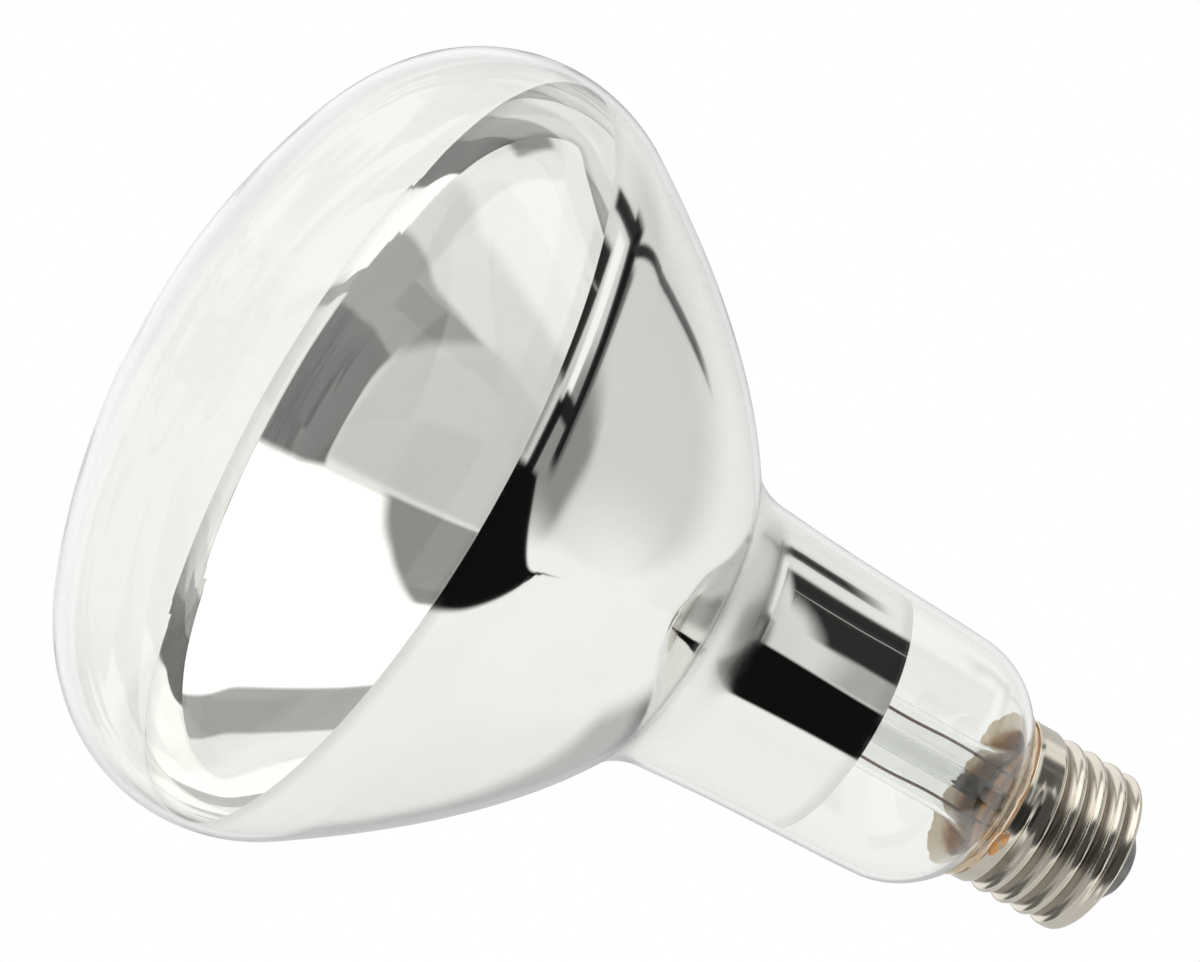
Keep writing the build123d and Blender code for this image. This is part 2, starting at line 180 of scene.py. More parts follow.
class CapSettings(bpy.types.PropertyGroup):
    """Sizes and colours of the screw cap."""

    radius: length("Radius", "Over the crests of the thread", 13.2 * MM)
    wall: length("Wall", "Thickness of the shell", 0.35 * MM)
    rim_height: length("Rim height", "Open end of the skirt", shell_low.z)
    pitch: length("Pitch", "Pitch of the round thread", 3.629 * MM)
    depth: length("Depth", "Depth of the round thread", 1.05 * MM)
    thread_rise: length("Thread rise", "Start of the thread above the skirt's rim", 3 * MM)
    thread_turns: bpy.props.FloatProperty(name="Turns", description="Turns of the thread", default=4.32)
    thread_start: bearing("Thread start", "Direction in which the thread starts", -125)
    fade: share("Fade", "Share of a turn over which the thread runs out", 0.2)
    lip_radius: length("Lip radius", "Rounding of the turned-in lip", 1.8 * MM)
    opening_radius: length("Opening radius", "Opening inside the lip", 9.2 * MM)
    insulator_depth: length("Insulator depth", "Glass inside the shell, below the lip", 2 * MM)
    insulator_end: length("Insulator end", "Radius at the end of the glass cone", 5.1 * MM)
    contact_radius: length("Contact radius", "Disc of the centre contact", 4 * MM)
    contact_proud: length("Contact proud", "Centre contact above the glass cone", 0.25 * MM)
    contact_thickness: length("Contact thickness", "Disc of the centre contact", 0.7 * MM)
    cement_depth: length("Cement depth", "Cement above the skirt's rim", 5.7 * MM)
    solder_bearing: bearing("Solder bearing", "Direction of the side solder", -66)
    nickel: colour("Nickel", "Colour of the plating", (0.80, 0.745, 0.64))
    smeared: colour("Smeared brass", "Colour inside the shell", (0.82, 0.50, 0.22))
    # Also the colour of the painted shade in the thread's grooves.
    tarnish_and_groove_shade: colour("Tarnish", "Colour of the dull places", (0.20, 0.16, 0.115))
    black_glass: colour("Black glass", "Colour of the insulator", (0.024, 0.025, 0.020))
    brass: colour("Brass", "Colour of the centre contact", (0.62, 0.43, 0.17))
    cement: colour("Cement", "Colour of the baked cement", (0.76, 0.37, 0.11))
    cement_pale: colour("Pale cement", "Colour of the squeezed-out fringe", (0.74, 0.66, 0.53))
    solder: colour("Solder", "Colour of the tin solder", (0.50, 0.46, 0.40))
    flux: colour("Flux", "Colour of the flux stain", (0.50, 0.24, 0.06))


class StageSettings(bpy.types.PropertyGroup):
    """Camera, floor and light."""

    tilt: bearing("Tilt", "How far the camera looks up along the lamp's axis", 18.95)
    roll: bearing("Roll", "Turn of the picture about the line of sight", 29.68)
    distance: length("Distance", "From the camera to the lamp", 1.5)
    aim_height: length("Aim height", "Height of the point on the axis that the camera looks at", 56.2 * MM)
    shift_right: length("Shift right", "The aim moved along the picture's width", 15.95 * MM)
    shift_down: length("Shift down", "The aim moved down the picture", -4.75 * MM)
    lens: bpy.props.FloatProperty(name="Lens", description="Focal length on a 36 mm sensor", default=306.2)
    floor_size: length("Floor size", "Side of the floor", 6.0)
    floor_colour: colour("Floor", "Colour of the floor", (0.90, 0.90, 0.89))


# Shaders: the scale of a noise is in clouds per metre, and a bump's distance in metres.


class Value:
    """A socket that takes part in Python arithmetic: each operator adds one Math node."""

    def __init__(self, finish, socket):
        self.finish = finish
        self.socket = socket

    def math(self, operation, *terms):
        """A Math node on the given terms, of which any may be a plain number."""
        return self.finish.node("ShaderNodeMath", {"operation": operation}, dict(enumerate(terms)))

    def __add__(self, other):
        return self.math("ADD", self, other)

    def __radd__(self, other):
        return self.math("ADD", other, self)

    def __sub__(self, other):
        return self.math("SUBTRACT", self, other)

    def __rsub__(self, other):
        return self.math("SUBTRACT", other, self)

    def __mul__(self, other):
        return self.math("MULTIPLY", self, other)

    def __rmul__(self, other):
        return self.math("MULTIPLY", other, self)

    def __truediv__(self, other):
        return self.math("DIVIDE", self, other)

    def __rtruediv__(self, other):
        return self.math("DIVIDE", other, self)

    def __pow__(self, other):
        return self.math("POWER", self, other)


class Finish:
    """The node tree of one material or of the world."""

    def __init__(self, owner, output="ShaderNodeOutputMaterial"):
        owner.use_nodes = True
        self.owner = owner
        self.tree = owner.node_tree
        self.tree.nodes.clear()
        self.end = self.tree.nodes.new(output)

    def node(self, kind, settings=None, inputs=None, output=0):
        """Adds a node, its settings first and then the values or links of its sockets, and gives one
        output."""
        made = self.tree.nodes.new(kind)
        for name, setting in (settings or {}).items():
            setattr(made, name, setting)
        for name, given in (inputs or {}).items():
            if isinstance(given, Value):
                self.tree.links.new(given.socket, made.inputs[name])
            else:
                made.inputs[name].default_value = given
        return Value(self, made.outputs[output])

    def place(self):
        """The piece's own place in the row frame, in metres."""
        return self.node("ShaderNodeTexCoord", output="Object")

    def noise(self, scale, detail=3.0, roughness=0.5, vector=None):
        """Cloudy noise from 0 to 1."""
        given = {"Vector": vector or self.place(), "Scale": scale, "Detail": detail, "Roughness": roughness}
        return self.node("ShaderNodeTexNoise", inputs=given, output="Fac")

    def steps(self, low, high, value):
        """Smooth step: 0 at low, 1 at high, clamped."""
        settings = {"interpolation_type": "SMOOTHSTEP"}
        return self.node("ShaderNodeMapRange", settings, {"Value": value, "From Min": low, "From Max": high})

    def blend(self, factor, first, second):
        """Colour between first and second."""
        return self.node("ShaderNodeMix", {"data_type": "RGBA"}, {0: factor, 6: first, 7: second}, output=2)

    def bump(self, height, distance):
        """Normal pushed by a height."""
        return self.node("ShaderNodeBump", inputs={"Height": height, "Distance": distance, "Strength": 1.0})

    def principled(self, **inputs):
        """The main shader, with sockets named in words joined by underscores."""
        named = {name.replace("_", " "): value for name, value in inputs.items()}
        return self.node("ShaderNodeBsdfPrincipled", inputs=named, output="BSDF")

    def background(self, level):
        """White light of one level from the world."""
        return self.node("ShaderNodeBackground", inputs={"Color": (1, 1, 1, 1), "Strength": level})

    def mix(self, factor, first, second):
        """Shader between first and second."""
        return self.node("ShaderNodeMixShader", inputs={0: factor, 1: first, 2: second})

    def close(self, shader):
        """Links the shader to the output and gives the material."""
        self.tree.links.new(shader.socket, self.end.inputs["Surface"])
        return self.owner

    def shade(self, **inputs):
        """Closes the tree with the main shader alone and gives the material."""
        return self.close(self.principled(**inputs))


def rgba(tint, amount=1.0):
    """A colour with full alpha, darker or paler by an amount."""
    return (*(tone * amount for tone in tint), 1.0)


def split(finish, vector):
    """The three parts of a vector as values."""
    made = finish.node("ShaderNodeSeparateXYZ", inputs={0: vector})
    outputs = made.socket.node.outputs
    return [Value(finish, outputs[index]) for index in range(3)]


def clear_glass(name, tint, ripple):
    """Clear glass: a dielectric with a faint slow ripple from blowing and a few fine seeds."""
    finish = Finish(bpy.data.materials.new(name))
    slow = finish.noise(38, 2.0)
    seeds = finish.steps(0.74, 0.82, finish.noise(900, 1.0))
    height = slow + seeds * 0.02
    return finish.shade(
        Base_Color=rgba(tint), Roughness=0.0, IOR=GLASS_IOR, Transmission_Weight=1.0,
        Normal=finish.bump(height, ripple),
    )


def mirror_metal(bulb):
    """Vacuum-deposited metal: bright, a little cloudy, with a dull band where it thins out at its edges and a
    satin one round the narrow waist."""
    finish = Finish(bpy.data.materials.new("mirror_layer"))
    cloud = finish.noise(26, 3.0)
    height = split(finish, finish.place())[2]
    front = finish.steps(bulb.mirror_front, bulb.mirror_front + 2.5 * MM, height)
    back = finish.steps(bulb.mirror_back, bulb.mirror_back - 3 * MM, height)
    full = front * back
    bright = rgba(bulb.mirror_tint)
    dull = rgba(bulb.mirror_tint, 0.8)
    tint = finish.blend(full * (0.55 + cloud * 0.7), dull, bright)
    waist_low, waist_high = bulb.hollow_start + 3 * MM, bulb.hollow_start + 17 * MM
    waist = finish.steps(waist_low, waist_low + 4 * MM, height)
    waist = waist * finish.steps(waist_high, waist_high - 5 * MM, height)
    rough = 0.07 - full * 0.06 + finish.steps(0.55, 0.75, cloud) * 0.008 + waist * 0.28
    return finish.shade(
        Base_Color=tint, Metallic=1.0, Roughness=rough,
        Normal=finish.bump(finish.noise(55, 2.0), 0.03 * MM),
    )


def wire_metal(name, tint, roughness, grain=900):
    """Drawn wire: one metal with fine uneven tone and a fine grain."""
    finish = Finish(bpy.data.materials.new(name))
    grains = finish.noise(grain, 4.0)
    dark = rgba(tint, 0.62)
    return finish.shade(
        Base_Color=finish.blend(grains, dark, rgba(tint)), Metallic=1.0,
        Roughness=roughness + grains * 0.15, Normal=finish.bump(grains, 0.02 * MM),
    )


def rolled_nickel(cap):
    """Plating on the rolled shell: polished on the crests, duller in the grooves and darkened there by
    painted shade, with scuffs. Inside, the bare brass is smeared with cement."""
    finish = Finish(bpy.data.materials.new("cap_nickel"))
    x, y, z = split(finish, finish.place())
    radius = (x * x + y * y) ** 0.5
    lip_start = cap_heights(cap)[0]
    below_lip = finish.steps(lip_start + 0.4 * MM, lip_start, z)
    valley = finish.steps(cap.radius - cap.depth * 0.70, cap.radius - cap.depth * 0.98, radius) * below_lip
    cloud = finish.noise(160, 4.0)
    stretched = finish.node(
        "ShaderNodeMapping", {"vector_type": "POINT"}, {"Vector": finish.place(), "Scale": (1, 1, 14)}
    )
    lines = finish.noise(260, 3.0, 0.6, stretched)
    scuffs = finish.steps(0.60, 0.72, finish.noise(700, 5.0, 0.7))
    dull = finish.steps(0.45, 0.85, cloud)
    # Painted shade: the grooves are blended towards the tarnish colour; the cloudy dull patches are real
    # tarnish.
    tint = finish.blend(dull * 0.18 + valley * 0.72, rgba(cap.nickel), rgba(cap.tarnish_and_groove_shade))
    rough = 0.15 + dull * 0.06 + valley * 0.15 + scuffs * 0.06 + lines * 0.03
    across, along = split(finish, finish.node("ShaderNodeNewGeometry", output="Normal"))[:2]
    inward = finish.steps(0.2, -0.2, (x * across + y * along) / radius)
    return finish.shade(
        Base_Color=finish.blend(inward, tint, rgba(cap.smeared)), Metallic=1 - inward * 0.8,
        Roughness=rough + inward * 0.4, Normal=finish.bump(cloud, 0.008 * MM),
    )


def poured_glass(cap):
    """Black glass poured hot: dark, glossy, with slow sags and fine pits. Its underside is brown with cement
    dust."""
    finish = Finish(bpy.data.materials.new("black_glass"))
    sags = finish.noise(220, 2.0)
    pits = finish.steps(0.68, 0.78, finish.noise(1500, 2.0))
    pale = rgba(cap.black_glass, 1.5)
    black = finish.blend(sags, rgba(cap.black_glass), pale)
    dusty = finish.steps(-0.2, -0.5, split(finish, finish.node("ShaderNodeNewGeometry", output="Normal"))[2])
    return finish.shade(
        Base_Color=finish.blend(dusty, black, rgba(cap.smeared)), Roughness=0.22 + pits * 0.3,
        IOR=BLACK_GLASS_IOR, Normal=finish.bump(sags - pits * 0.15, 0.12 * MM),
    )


def baked_cement(cap):
    """Baked cement: brown and grainy inside, paler in the fringe that was squeezed out under the rim."""
    finish = Finish(bpy.data.materials.new("cement"))
    height = split(finish, finish.place())[2]
    grains = finish.noise(1400, 5.0, 0.65)
    patches = finish.noise(240, 3.0)
    fringe = finish.steps(cap.rim_height + 0.5 * MM, cap.rim_height - 0.4 * MM, height)
    brown = finish.blend(patches, rgba(cap.cement, 0.62), rgba(cap.cement))
    tint = finish.blend(fringe * (0.45 + patches * 0.7), brown, rgba(cap.cement_pale))
    return finish.shade(
        Base_Color=finish.blend(finish.steps(0.55, 0.8, grains) * 0.5, tint, rgba(CEMENT_SHADOW)),
        Roughness=0.72 + grains * 0.2, Normal=finish.bump(grains, 0.18 * MM),
    )


def fluxed_solder(cap):
    """Tin solder under a brittle amber film of flux."""
    finish = Finish(bpy.data.materials.new("side_solder"))
    film = finish.steps(0.30, 0.55, finish.noise(420, 3.0))
    return finish.shade(
        Base_Color=finish.blend(film, rgba(cap.solder), rgba(cap.flux)), Metallic=1 - film * 0.8,
        Roughness=0.30 - film * 0.12, Coat_Weight=film * 0.6,
        Normal=finish.bump(finish.noise(600, 3.0), 0.1 * MM),
    )


# Surfaces


def grid(points, close_rows=False, close_columns=True):
    """Quads of a grid of points [rows, columns, 3]. Columns go round the piece and rows along it, so the
    faces point away from the axis where rows go up its outside."""
    rows, columns = points.shape[:2]
    row = np.arange(rows if close_rows else rows - 1)[:, None]
    column = np.arange(columns if close_columns else columns - 1)[None, :]
    near = row * columns
    far = (row + 1) % rows * columns
    following = (column + 1) % columns
    quads = np.stack([near + column, near + following, far + following, far + column], axis=-1)
    return points.reshape(-1, 3), quads.reshape(-1, 4)


def make_piece(name, grids, material, nodes, sharp=35):
    """One object from several grids. Points that coincide are merged, which closes seams and poles."""
    points, faces, offset = [], [], 0
    for sheet_points, quads in grids:
        points.append(sheet_points)
        faces.append(quads + offset)
        offset += len(sheet_points)
    mesh = bpy.data.meshes.new(name)
    mesh.from_pydata(np.concatenate(points), [], np.concatenate(faces).tolist())
    welded = bmesh.new()
    welded.from_mesh(mesh)
    bmesh.ops.remove_doubles(welded, verts=welded.verts, dist=1e-7)
    welded.to_mesh(mesh)
    welded.free()
    mesh.polygons.foreach_set("use_smooth", np.ones(len(mesh.polygons), dtype=bool))
    mesh.set_sharp_from_angle(angle=math.radians(sharp))
    mesh.materials.append(material)
    piece = bpy.data.objects.new(name, mesh)
    bpy.context.scene.collection.objects.link(piece)
    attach(piece, BODY)
    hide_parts(*nodes)


def about_axis(radius, angle, height):
    """Points at a radius, an angle about the axis and a height."""
    return np.stack([radius * np.cos(angle), radius * np.sin(angle), height], axis=-1)


def straight(radius, start, end, count):
    """Points (r, z) of a straight wall from one height to another."""
    return np.stack([np.full(count, radius), np.linspace(start, end, count)], axis=1)


def turned(section, columns=192, warp=None):
    """Surface of revolution: each point (r, z) of the section goes round the axis. warp gives a length that
    is added to the radius at each angle and height."""
    angle = np.linspace(0, TURN, columns, endpoint=False)[None, :]
    radius = section[:, 0][:, None] + np.zeros_like(angle)
    height = section[:, 1][:, None] + np.zeros_like(angle)
    if warp is not None:
        radius = np.where(radius > 0, radius + warp(angle, height), 0)
    return about_axis(radius, angle, height)


def tube(path, radius, sides=16, toward=(0.31, 0.87, 0.38)):
    """Round bar along a path: a circle in the plane across the path at each point, closed by a flat end at
    both ends. toward fixes where the circle starts and is never along the path."""
    along = np.gradient(path, axis=0)
    along /= np.linalg.norm(along, axis=1, keepdims=True)
    toward = np.broadcast_to(np.asarray(toward, dtype=float), path.shape)
    first = toward - (toward * along).sum(1, keepdims=True) * along
    first /= np.linalg.norm(first, axis=1, keepdims=True)
    second = np.cross(along, first)
    angle = np.linspace(0, TURN, sides, endpoint=False)[None, :, None]
    circle = first[:, None] * np.cos(angle) + second[:, None] * np.sin(angle)
    radius = np.broadcast_to(np.asarray(radius, dtype=float), len(path))[:, None, None]
    wall = path[:, None] + circle * radius
    ends = [np.repeat(path[[index]][:, None], sides, axis=1) for index in (0, -1)]
    return np.concatenate([ends[0], wall, ends[1]])


def arc_points(centre, radius, start, end, count):
    """Points of a circle's arc from one angle to another, with the directions away from its centre."""
    angle = np.linspace(start, end, count)
    away = np.stack([np.cos(angle), np.sin(angle)], axis=1)
    return np.asarray(centre) + radius * away, away


def rounded_path(corners, bend, count=8):
    """Straight runs between corners, joined by arcs of one radius that touch both runs."""
    corners = [np.asarray(corner, dtype=float) for corner in corners]
    points = [corners[0]]
    for before, corner, after in zip(corners, corners[1:], corners[2:]):
        back = (before - corner) / np.linalg.norm(before - corner)
        ahead = (after - corner) / np.linalg.norm(after - corner)
        half = math.acos(max(-1, min(1, float(back @ ahead)))) / 2
        middle = (back + ahead) / np.linalg.norm(back + ahead)
        centre = corner + middle * bend / math.sin(half)
        start = corner + back * bend / math.tan(half) - centre
        end = corner + ahead * bend / math.tan(half) - centre
        sweep = math.pi - 2 * half
        part = np.linspace(0, 1, count)[:, None]
        round_in, round_out = start * np.sin((1 - part) * sweep), end * np.sin(part * sweep)
        points.extend(centre + (round_in + round_out) / math.sin(sweep))
    points.append(corners[-1])
    return np.array(points)


def dense(path, step):
    """The path with more points on its straight runs, none further apart than step."""
    gaps = np.linalg.norm(np.diff(path, axis=0), axis=1)
    reach = np.concatenate([[0], np.cumsum(gaps)])
    extra = np.linspace(0, reach[-1], int(reach[-1] / step) + 2)
    stations = np.union1d(reach, extra)
    stations = stations[np.concatenate([[True], np.diff(stations) > step * 0.05])]
    return np.stack([np.interp(stations, reach, path[:, axis]) for axis in range(3)], axis=1)


# Bulb


def bulb_outline(bulb, inset=0.0):
    """Half section of the blown bulb from the middle of its face to the end of its collar, moved inwards by
    inset. A sphere's arc for the face, the rim's arc, the paraboloid r*r = 4*f*(top - z), a hollow arc that
    touches both bowl and neck, the neck's cone, the shoulder's arc and a small hollow arc into the collar."""
    f = bulb.focal_length
    rim_x = bulb.diameter / 2 - bulb.rim_radius
    rim_y = bulb.face_radius - math.sqrt((bulb.face_radius - bulb.rim_radius) ** 2 - rim_x ** 2)
    crown = math.asin(rim_x / (bulb.face_radius - bulb.rim_radius)) - math.pi / 2
    rim_end = 0.5
    for _ in range(40):
        rim_end = math.atan2(2 * f, rim_x + bulb.rim_radius * math.cos(rim_end))
    bowl_start = rim_x + bulb.rim_radius * math.cos(rim_end)
    top = rim_y + bulb.rim_radius * math.sin(rim_end) + bowl_start ** 2 / (4 * f)

    def bowl(radius):
        """Points of the paraboloid at these radii, and their directions outwards."""
        slope = np.hypot(radius, 2 * f)
        out = np.stack([radius / slope, 2 * f / slope], -1)
        return np.stack([radius, top - radius ** 2 / (4 * f)], -1), out

    taper = bulb.neck_taper
    neck_out = np.array([math.cos(taper), math.sin(taper)])
    neck_top = np.array([bulb.neck_radius, bulb.neck_height])
    inner, outer = bulb.neck_radius, bowl_start
    for _ in range(50):
        middle = (inner + outer) / 2
        point, out = bowl(np.array(middle))
        waist = point + bulb.waist_radius * out
        if (waist - neck_top) @ neck_out > bulb.waist_radius:
            outer = middle
        else:
            inner = middle
    waist_start = math.atan2(-out[1], -out[0]) % TURN

    shoulder = neck_top - bulb.shoulder_radius * neck_out
    collar_x = bulb.collar_radius + bulb.collar_fillet
    reach = collar_x - shoulder[0]
    collar_y = shoulder[1] + math.sqrt((bulb.shoulder_radius + bulb.collar_fillet) ** 2 - reach ** 2)
    shoulder_end = math.atan2(collar_y - shoulder[1], reach)

    face_points, face_out = arc_points((0, bulb.face_radius), bulb.face_radius, -math.pi / 2, crown, 34)
    face_points[0, 0] = 0
    face_out[0] = (0, -1)
    rim_points, rim_out = arc_points((rim_x, rim_y), bulb.rim_radius, crown, rim_end, 36)
    bowl_points, bowl_out = bowl(np.linspace(bowl_start, middle, 46))
    waist_points, waist_in = arc_points(waist, bulb.waist_radius, waist_start, math.pi + taper, 16)
    part = np.linspace(0, 1, 18)[:, None]
    neck_points = waist_points[-1] * (1 - part) + neck_top * part
    neck_outs = np.repeat(neck_out[None], len(part), axis=0)
    shoulder_points, shoulder_out = arc_points(shoulder, bulb.shoulder_radius, taper, shoulder_end, 16)
    fillet_points, fillet_in = arc_points(
        (collar_x, collar_y), bulb.collar_fillet, shoulder_end + math.pi, math.pi, 7
    )
    collar_points = np.array([[bulb.collar_radius, bulb.seal_height]])
    points = np.concatenate([
        face_points, rim_points[1:], bowl_points[1:], waist_points[1:], neck_points[1:],
        shoulder_points[1:], fillet_points[1:], collar_points,
    ])
    outs = np.concatenate([
        face_out, rim_out[1:], bowl_out[1:], -waist_in[1:], neck_outs[1:],
        shoulder_out[1:], -fillet_in[1:], [[1.0, 0.0]],
    ])
    return points - inset * outs


def blown(bulb):
    """Slow unevenness of blown glass: a few waves round and along the bulb, none at the face's middle or at
    the collar, and a neck that is drawn in by a squared sine along its length."""
    calm = 8 * MM

    def ripple(angle, height):
        """What is added to the radius: the waves, less the drawn-in neck."""
        share_up = (height - calm) / (bulb.neck_height - calm)
        fade = np.clip(share_up * 5, 0, 1) * np.clip((1 - share_up) * 6, 0, 1)
        waves = (
            np.sin(3 * angle + 40 * height + 0.7)
            + 0.6 * np.sin(5 * angle - 95 * height + 2.1)
            + 0.5 * np.sin(2 * angle + 150 * height + 4.0)
            + 0.25 * np.sin(9 * angle + 120 * height + 1.3)
        )
        along = np.clip((height - bulb.hollow_start) / (bulb.neck_height - bulb.hollow_start), 0, 1)
        return bulb.ripple * fade * waves - bulb.neck_hollow * np.sin(math.pi * along) ** 2

    return ripple


def make_envelope(bulb):
    """Glass between the outline and the same outline moved in by the wall."""
    outside = bulb_outline(bulb)
    inside = bulb_outline(bulb, bulb.wall)[::-1]
    section = np.concatenate([outside, inside])
    material = clear_glass("clear_glass", bulb.glass_tint, 0.03 * MM)
    surface = turned(section, 256, blown(bulb))
    make_piece("blown_bulb", [grid(surface)], material, ["glass_envelope"], 50)


def between(section, low, high):
    """The part of an outline between two heights, cut exactly at both. Heights grow along the part."""
    start = np.argmax(section[:, 1] > low)
    end = np.argmax(section[:, 1] >= high)
    first = [np.interp(low, section[start - 1 : start + 1, 1], section[start - 1 : start + 1, 0]), low]
    last = [np.interp(high, section[end - 1 : end + 1, 1], section[end - 1 : end + 1, 0]), high]
    return np.concatenate([[first], section[start:end], [last]])


def make_mirror(bulb):
    """Closed thin layer just inside the glass, between two heights."""
    inset = bulb.wall + bulb.mirror_gap
    outside = between(bulb_outline(bulb, inset), bulb.mirror_front, bulb.mirror_back)
    inside = between(bulb_outline(bulb, inset + bulb.mirror_thickness), bulb.mirror_front, bulb.mirror_back)
    section = np.concatenate([outside, inside[::-1]])
    layer = grid(turned(section, 256, blown(bulb)), close_rows=True)
    make_piece("mirror_layer", [layer], mirror_metal(bulb), ["mirror_coating"], 50)


# Mount


def mount_heights(mount):
    """Heights worked up from the filament: filament, button, press bottom, press top, stem floor."""
    filament = (filament_low.z + filament_high.z) / 2
    button = filament + mount.button_rise
    press_bottom = button + mount.rod_length
    press_top = press_bottom + mount.press_length
    return filament, button, press_bottom, press_top, press_top + mount.press_shoulder


def flat_round(angle, width, thickness):
    """Outline of the press: a superellipse of the fourth power, as a pressed glass end has."""
    shape = (np.abs(np.cos(angle) / (width / 2)) ** 4 + np.abs(np.sin(angle) / (thickness / 2)) ** 4) ** -0.25
    return shape[..., None] * np.stack([np.cos(angle), np.sin(angle)], axis=-1)


def make_stem(bulb, mount):
    """Pressed end blended into the round tube, the trumpet's arc to the seal, and the bore inside."""
    press_bottom, press_top, floor = mount_heights(mount)[2:]
    angle = np.linspace(0, TURN, 128, endpoint=False)[None, :]
    reach = bulb.collar_radius - bulb.wall - 0.1 * MM - mount.stem_radius
    start = bulb.seal_height - mount.flare_length
    flare = (reach ** 2 + mount.flare_length ** 2) / (2 * reach)

    pinch = np.array([0.0, 0.62, 0.86, 0.97, 1.0])
    low = press_bottom + np.array([0.0, 0.0, 0.25, 0.7, 1.4]) * MM
    run = np.linspace(press_bottom + 2 * MM, press_top, 8)
    turning = np.linspace(0, 1, 16)[1:]
    heights = np.concatenate([low, run, press_top + turning * mount.press_shoulder])
    scales = np.concatenate([pinch, np.ones(len(run) + len(turning))])
    easing = turning * turning * (3 - 2 * turning)
    roundness = np.concatenate([np.zeros(len(low) + len(run)), easing])[:, None, None]
    pressed = flat_round(angle, mount.press_width, mount.press_thickness)
    circle = mount.stem_radius * np.stack([np.cos(angle), np.sin(angle)], axis=-1)
    outline = (pressed * (1 - roundness) + circle * roundness) * scales[:, None, None]
    levels = np.broadcast_to(heights[:, None, None], (*outline.shape[:2], 1))
    press = np.concatenate([outline, levels], axis=-1)

    flare_up = np.linspace(0, mount.flare_length, 24)
    flare_out = mount.stem_radius + flare - np.sqrt(flare ** 2 - flare_up ** 2)
    outer = np.concatenate([
        straight(mount.stem_radius, floor, start, 10)[1:-1],
        np.stack([flare_out, start + flare_up], axis=1),
    ])
    rim_top = bulb.seal_height + mount.flare_rim
    rim = np.array([
        [bulb.collar_radius, bulb.seal_height],
        [bulb.collar_radius + 0.15 * MM, bulb.seal_height + mount.flare_rim * 0.5],
        [bulb.collar_radius - 0.1 * MM, rim_top],
    ])
    bore_up = np.linspace(mount.flare_length + mount.flare_rim, 0, 24)
    bore_out = mount.stem_radius + flare - np.sqrt((flare + mount.stem_wall) ** 2 - bore_up ** 2)
    bore = mount.stem_radius - mount.stem_wall
    inner = np.concatenate([
        np.stack([bore_out, start + bore_up], axis=1),
        straight(bore, start, floor + 1.5 * MM, 10)[1:],
        [[bore * 0.95, floor + 0.8 * MM], [bore * 0.8, floor + 0.3 * MM], [bore * 0.5, floor], [0, floor]],
    ])
    tubes = turned(np.concatenate([outer, rim, inner]), 128)
    surface = np.concatenate([press, tubes])
    material = clear_glass("stem_glass", mount.stem_tint, 0.02 * MM)
    make_piece("stem", [grid(surface)], material, ["stem_flare"], 50)
    make_exhaust(bulb, mount, floor, material)
    make_rod(mount, material)


def make_exhaust(bulb, mount, floor, material):
    """Thin tube on the stem's floor, drawn off to a closed tip: a wall that runs out into a half round."""
    tip = bulb.seal_height + mount.exhaust_rise
    foot = floor + 0.1 * MM
    round_end = arc_points((0, tip - mount.exhaust_radius), mount.exhaust_radius, 0, math.pi / 2, 12)[0]
    round_end[-1, 0] = 0
    outer = straight(mount.exhaust_radius, foot, round_end[0, 1], 20)
    bore = mount.exhaust_radius - mount.exhaust_wall
    inner_top = arc_points((0, tip - 2 * mount.exhaust_radius - bore), bore, math.pi / 2, 0, 10)[0]
    inner_top[0, 0] = 0
    inner = straight(bore, inner_top[-1, 1], foot, 18)
    shell = np.concatenate([outer[:-1], round_end])
    hollow = np.concatenate([inner_top, inner[1:]])
    surfaces = [grid(turned(shell, 48)), grid(turned(hollow, 48))]
    ring = turned(np.array([[bore, foot], [mount.exhaust_radius, foot]]), 48)
    make_piece("exhaust", surfaces + [grid(ring)], material, ["exhaust_tube"], 50)


def make_rod(mount, material):
    """Rod under the press with a rounded button: one half section, turned."""
    button, press_bottom = mount_heights(mount)[1:3]
    half = mount.button_thickness / 2
    weld = press_bottom - 0.05 * MM
    side = arc_points((mount.button_radius - half, button), half, -math.pi / 2, math.pi / 2, 18)[0]
    neck = np.array([
        [mount.rod_radius * 1.7, button + half * 0.98],
        [mount.rod_radius * 1.2, button + half * 1.2],
        [mount.rod_radius, button + half * 1.6],
        [mount.rod_radius, (button + press_bottom) / 2],
        [mount.rod_radius, press_bottom - 1.2 * MM],
        [mount.rod_radius * 1.25, press_bottom - 0.5 * MM],
        [mount.rod_radius * 1.7, weld],
        [0, weld],
    ])
    section = np.concatenate([[[0, button - half]], side, neck])
    make_piece("rod_and_button", [grid(turned(section, 64))], material, ["support_rod"], 50)


def ring_ends(mount):
    """Angles of the filament's two ends; the gap faces -Y."""
    return -math.pi / 2 + mount.ring_gap / 2, 1.5 * math.pi - mount.ring_gap / 2


def make_filament(mount):
    """Helix round a ring: the coil's centre goes round the ring while the wire turns about it, with a
    straight tail at each end."""
    height = mount_heights(mount)[0]
    start, end = ring_ends(mount)
    turns = int(mount.ring_radius * (end - start) / mount.coil_pitch)
    points_per_turn = 14
    count = turns * points_per_turn
    angle = np.linspace(start, end, count)
    phase = np.linspace(0, turns * TURN, count)
    helix = mount.coil_radius - mount.coil_wire
    across = mount.ring_radius + helix * np.cos(phase)
    path = about_axis(across, angle, height + helix * np.sin(phase))
    toward = about_axis(np.cos(phase), angle, np.sin(phase))
    coil = tube(path, mount.coil_wire, 6, toward)
    tails = []
    for side, place in ((1, start), (-1, end)):
        foot = about_axis(mount.ring_radius, place, height)
        along = side * np.array([math.sin(place), -math.cos(place), 0])
        run = foot + along * np.linspace(-1.0, 2.6, 6)[:, None] * MM
        tails.append(grid(tube(run, 0.2 * MM, 12)))
    material = wire_metal("tungsten", mount.tungsten, 0.42, 1500)
    make_piece("filament_coil", [grid(coil)] + tails, material, ["filament"], 60)


